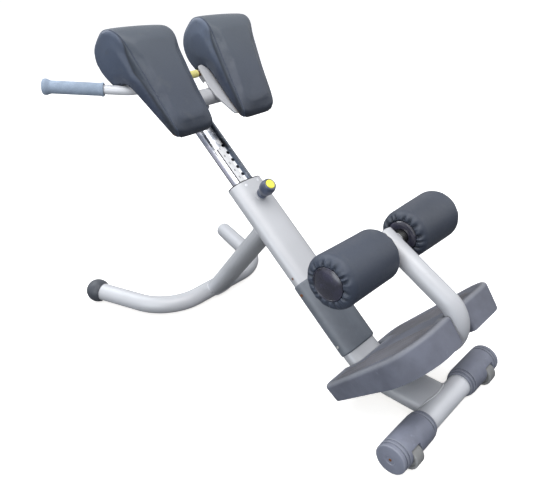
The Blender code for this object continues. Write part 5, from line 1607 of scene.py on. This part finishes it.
def make_pad_frame():
    """Cross tube with end plugs, saddle, plates, boards, and the lift bar with its sleeve."""
    s = seat_sizes()
    centre = tilted((0.0, s.cross_along, s.cross_off))
    tube = [(0, -s.cross_half), (s.cross, -s.cross_half), (s.cross, s.cross_half),
            (0, s.cross_half)]
    settle(lathe("cross_shell", tube, centre, (1, 0, 0), 80), "silver_paint", "carriage",
           "cross_tube")
    for side, word in SIDES:
        plug = arc_path([(0, 0), (s.cross - 0.0004, 0), (s.cross - 0.0004, 0.0033), (0, 0.0036)],
                        [0, 0, 0.0016, 0], 5)
        settle(lathe("cross_cap_" + word, plug, centre + np.array((side * s.cross_half, 0, 0)),
                     (side, 0, 0), 64), "black_plastic", "carriage", "cross_plug_" + word)
        solid_copy("pad_plate_" + word, 0.0008)
        solid_copy("pad_board_" + word, 0.0006)
    solid_copy("post_saddle", 0.0006)
    middle = tilted((0.0, s.handle_along + 0.006, s.handle_off + 0.004))
    bar = [(0, -0.0457), (0.008, -0.0457), (0.008, 0.0457), (0, 0.0457)]
    settle(lathe("lift_rod", bar, middle, (1, 0, 0), 40), "rusty_steel", "carriage", "lift_bar")
    sleeve = arc_path([(0.0083, 0.028), (0.0083, -0.036), (0.0107, -0.036), (0.0107, 0.028)],
                      [0, 0, 0.0012, 0.0012], 5, closed=True)
    settle(lathe("lift_sleeve", sleeve, middle, (1, 0, 0), 56, closed=True), "faded_yellow",
           "carriage", "lift_bar_sleeve", slot="yellow_plastic")


def handle_path(side):
    """Axis of a handle: out under the pad, then one bend to the grip."""
    s, t = seat_sizes(), tube_sizes()
    grip_end = np.array([(side * 0.355, t.bar_y + 1.031, 0.710)])
    end = sloped(grip_end)[0]
    return arc_path([(side * 0.0503, s.handle_along, s.handle_off),
                     (side * s.handle_corner, s.handle_along, s.handle_off), end],
                    [0, 0.055, 0], 22)


def make_handles():
    """Bent handle tubes with flanged grips."""
    s = seat_sizes()
    for side, word in SIDES:
        path = tilted(handle_path(side))
        normal = unit(np.cross(path[-1] - path[-2], path[1] - path[0]))
        # painted light: the handles take a lighter copy of the silver paint
        settle(surface("handle_" + word, sweep(path, normal, circle(s.handle, 48)),
                       caps=(True, True)), "lit_copy_silver_paint", "carriage", "handle_tube_" + word,
               slot="silver_paint")
        out = unit(path[-1] - path[-2])
        r, span = s.grip, s.grip_long
        profile = arc_path([(0.0123, -span), (r - 0.0002, -span), (r + 0.0013, 0.0008 - span),
                            (r + 0.0013, 0.0062 - span), (r, 0.0070 - span), (r, -0.0150),
                            (0.0186, -0.0095), (0.0206, -0.0045), (0.0206, 0.0015),
                            (0.0180, 0.0055), (0, 0.0066)],
                           [0, 0.0006, 0.0008, 0.0008, 0.0006, 0.006, 0.004, 0.002, 0.002,
                            0.003, 0], 7)
        settle(lathe("grip_cover_" + word, profile, path[-1], out, 72, 50), "grip_rubber",
               "carriage", "grip_" + word)


# Operators and sidebar

class MakeStage(bpy.types.Operator):
    """Make the floor, the lamps, the camera and the finishes"""
    bl_idname = "bench.stage"
    bl_label = "Stage and finishes"

    def execute(self, context):
        make_looks()
        make_stage()
        return {"FINISHED"}


class MakeTube(bpy.types.Operator):
    """Make the main tube with its bushing and welds"""
    bl_idname = "bench.tube"
    bl_label = "Main tube"

    def execute(self, context):
        make_main_tube()
        return {"FINISHED"}


class MakePost(bpy.types.Operator):
    """Make the post and its scale"""
    bl_idname = "bench.post"
    bl_label = "Post"

    def execute(self, context):
        make_post()
        return {"FINISHED"}


class MakePullPin(bpy.types.Operator):
    """Make the pull pin's nut, knob and cap"""
    bl_idname = "bench.pull_pin"
    bl_label = "Pull pin"

    def execute(self, context):
        make_pull_pin()
        return {"FINISHED"}


class MakeShinCover(bpy.types.Operator):
    """Make the shin cover and its screws"""
    bl_idname = "bench.shin_cover"
    bl_label = "Shin cover"

    def execute(self, context):
        make_shin_cover()
        return {"FINISHED"}


class MakeFrontFoot(bpy.types.Operator):
    """Make the front bar, end feet and wheels"""
    bl_idname = "bench.front_foot"
    bl_label = "Front foot"

    def execute(self, context):
        make_front_foot()
        return {"FINISHED"}


class MakeRearFoot(bpy.types.Operator):
    """Make the rear foot and the strut"""
    bl_idname = "bench.rear_foot"
    bl_label = "Rear foot"

    def execute(self, context):
        make_rear_foot()
        return {"FINISHED"}


class MakeFootplate(bpy.types.Operator):
    """Make the footplate and its ribs"""
    bl_idname = "bench.footplate"
    bl_label = "Footplate"

    def execute(self, context):
        make_footplate()
        return {"FINISHED"}


class MakeArm(bpy.types.Operator):
    """Make the roller arm"""
    bl_idname = "bench.arm"
    bl_label = "Roller arm"

    def execute(self, context):
        make_arm()
        return {"FINISHED"}


class MakeRollers(bpy.types.Operator):
    """Make the padded rollers and their discs"""
    bl_idname = "bench.rollers"
    bl_label = "Rollers"

    def execute(self, context):
        make_rollers()
        return {"FINISHED"}


class MakePadFrame(bpy.types.Operator):
    """Make what carries the pads"""
    bl_idname = "bench.pad_frame"
    bl_label = "Pad frame"

    def execute(self, context):
        make_pad_frame()
        return {"FINISHED"}


class MakeHandles(bpy.types.Operator):
    """Make the handles and grips"""
    bl_idname = "bench.handles"
    bl_label = "Handles"

    def execute(self, context):
        make_handles()
        return {"FINISHED"}


class MakePads(bpy.types.Operator):
    """Make the stuffed hip pads"""
    bl_idname = "bench.pads"
    bl_label = "Hip pads"

    def execute(self, context):
        make_pads()
        return {"FINISHED"}


OPERATORS = (MakeStage, MakeTube, MakePost, MakePullPin, MakeShinCover, MakeFrontFoot,
             MakeRearFoot, MakeFootplate, MakeArm, MakeRollers, MakePadFrame, MakeHandles,
             MakePads)
GROUPS = (("bench_tube", TubeSizes), ("bench_foot", FootSizes), ("bench_seat", SeatSizes),
          ("bench_colours", Colours))


class BenchPanel(bpy.types.Panel):
    """Lists the bench's steps, sizes and colours"""
    bl_idname = "VIEW3D_PT_bench"
    bl_label = "Hyperextension bench"
    bl_space_type = "VIEW_3D"
    bl_region_type = "UI"
    bl_category = "Bench"

    def draw(self, context):
        column = self.layout.column()
        for kind in OPERATORS:
            column.operator(kind.bl_idname)
        for name, group in GROUPS:
            box = self.layout.box()
            for key in group.__annotations__:
                box.prop(getattr(context.scene, name), key)


CLASSES = (*(group for _, group in GROUPS), *OPERATORS, BenchPanel)


def register():
    """Add the classes and the scene's settings."""
    for kind in CLASSES:
        bpy.utils.register_class(kind)
    for name, group in GROUPS:
        setattr(bpy.types.Scene, name, bpy.props.PointerProperty(type=group))


def unregister():
    """Take the settings and the classes away."""
    for name, _ in GROUPS:
        delattr(bpy.types.Scene, name)
    for kind in reversed(CLASSES):
        bpy.utils.unregister_class(kind)


def main():
    register()
    for kind in OPERATORS:
        group, name = kind.bl_idname.split(".")
        getattr(getattr(bpy.ops, group), name)()


if __name__ == "__main__":
    main()
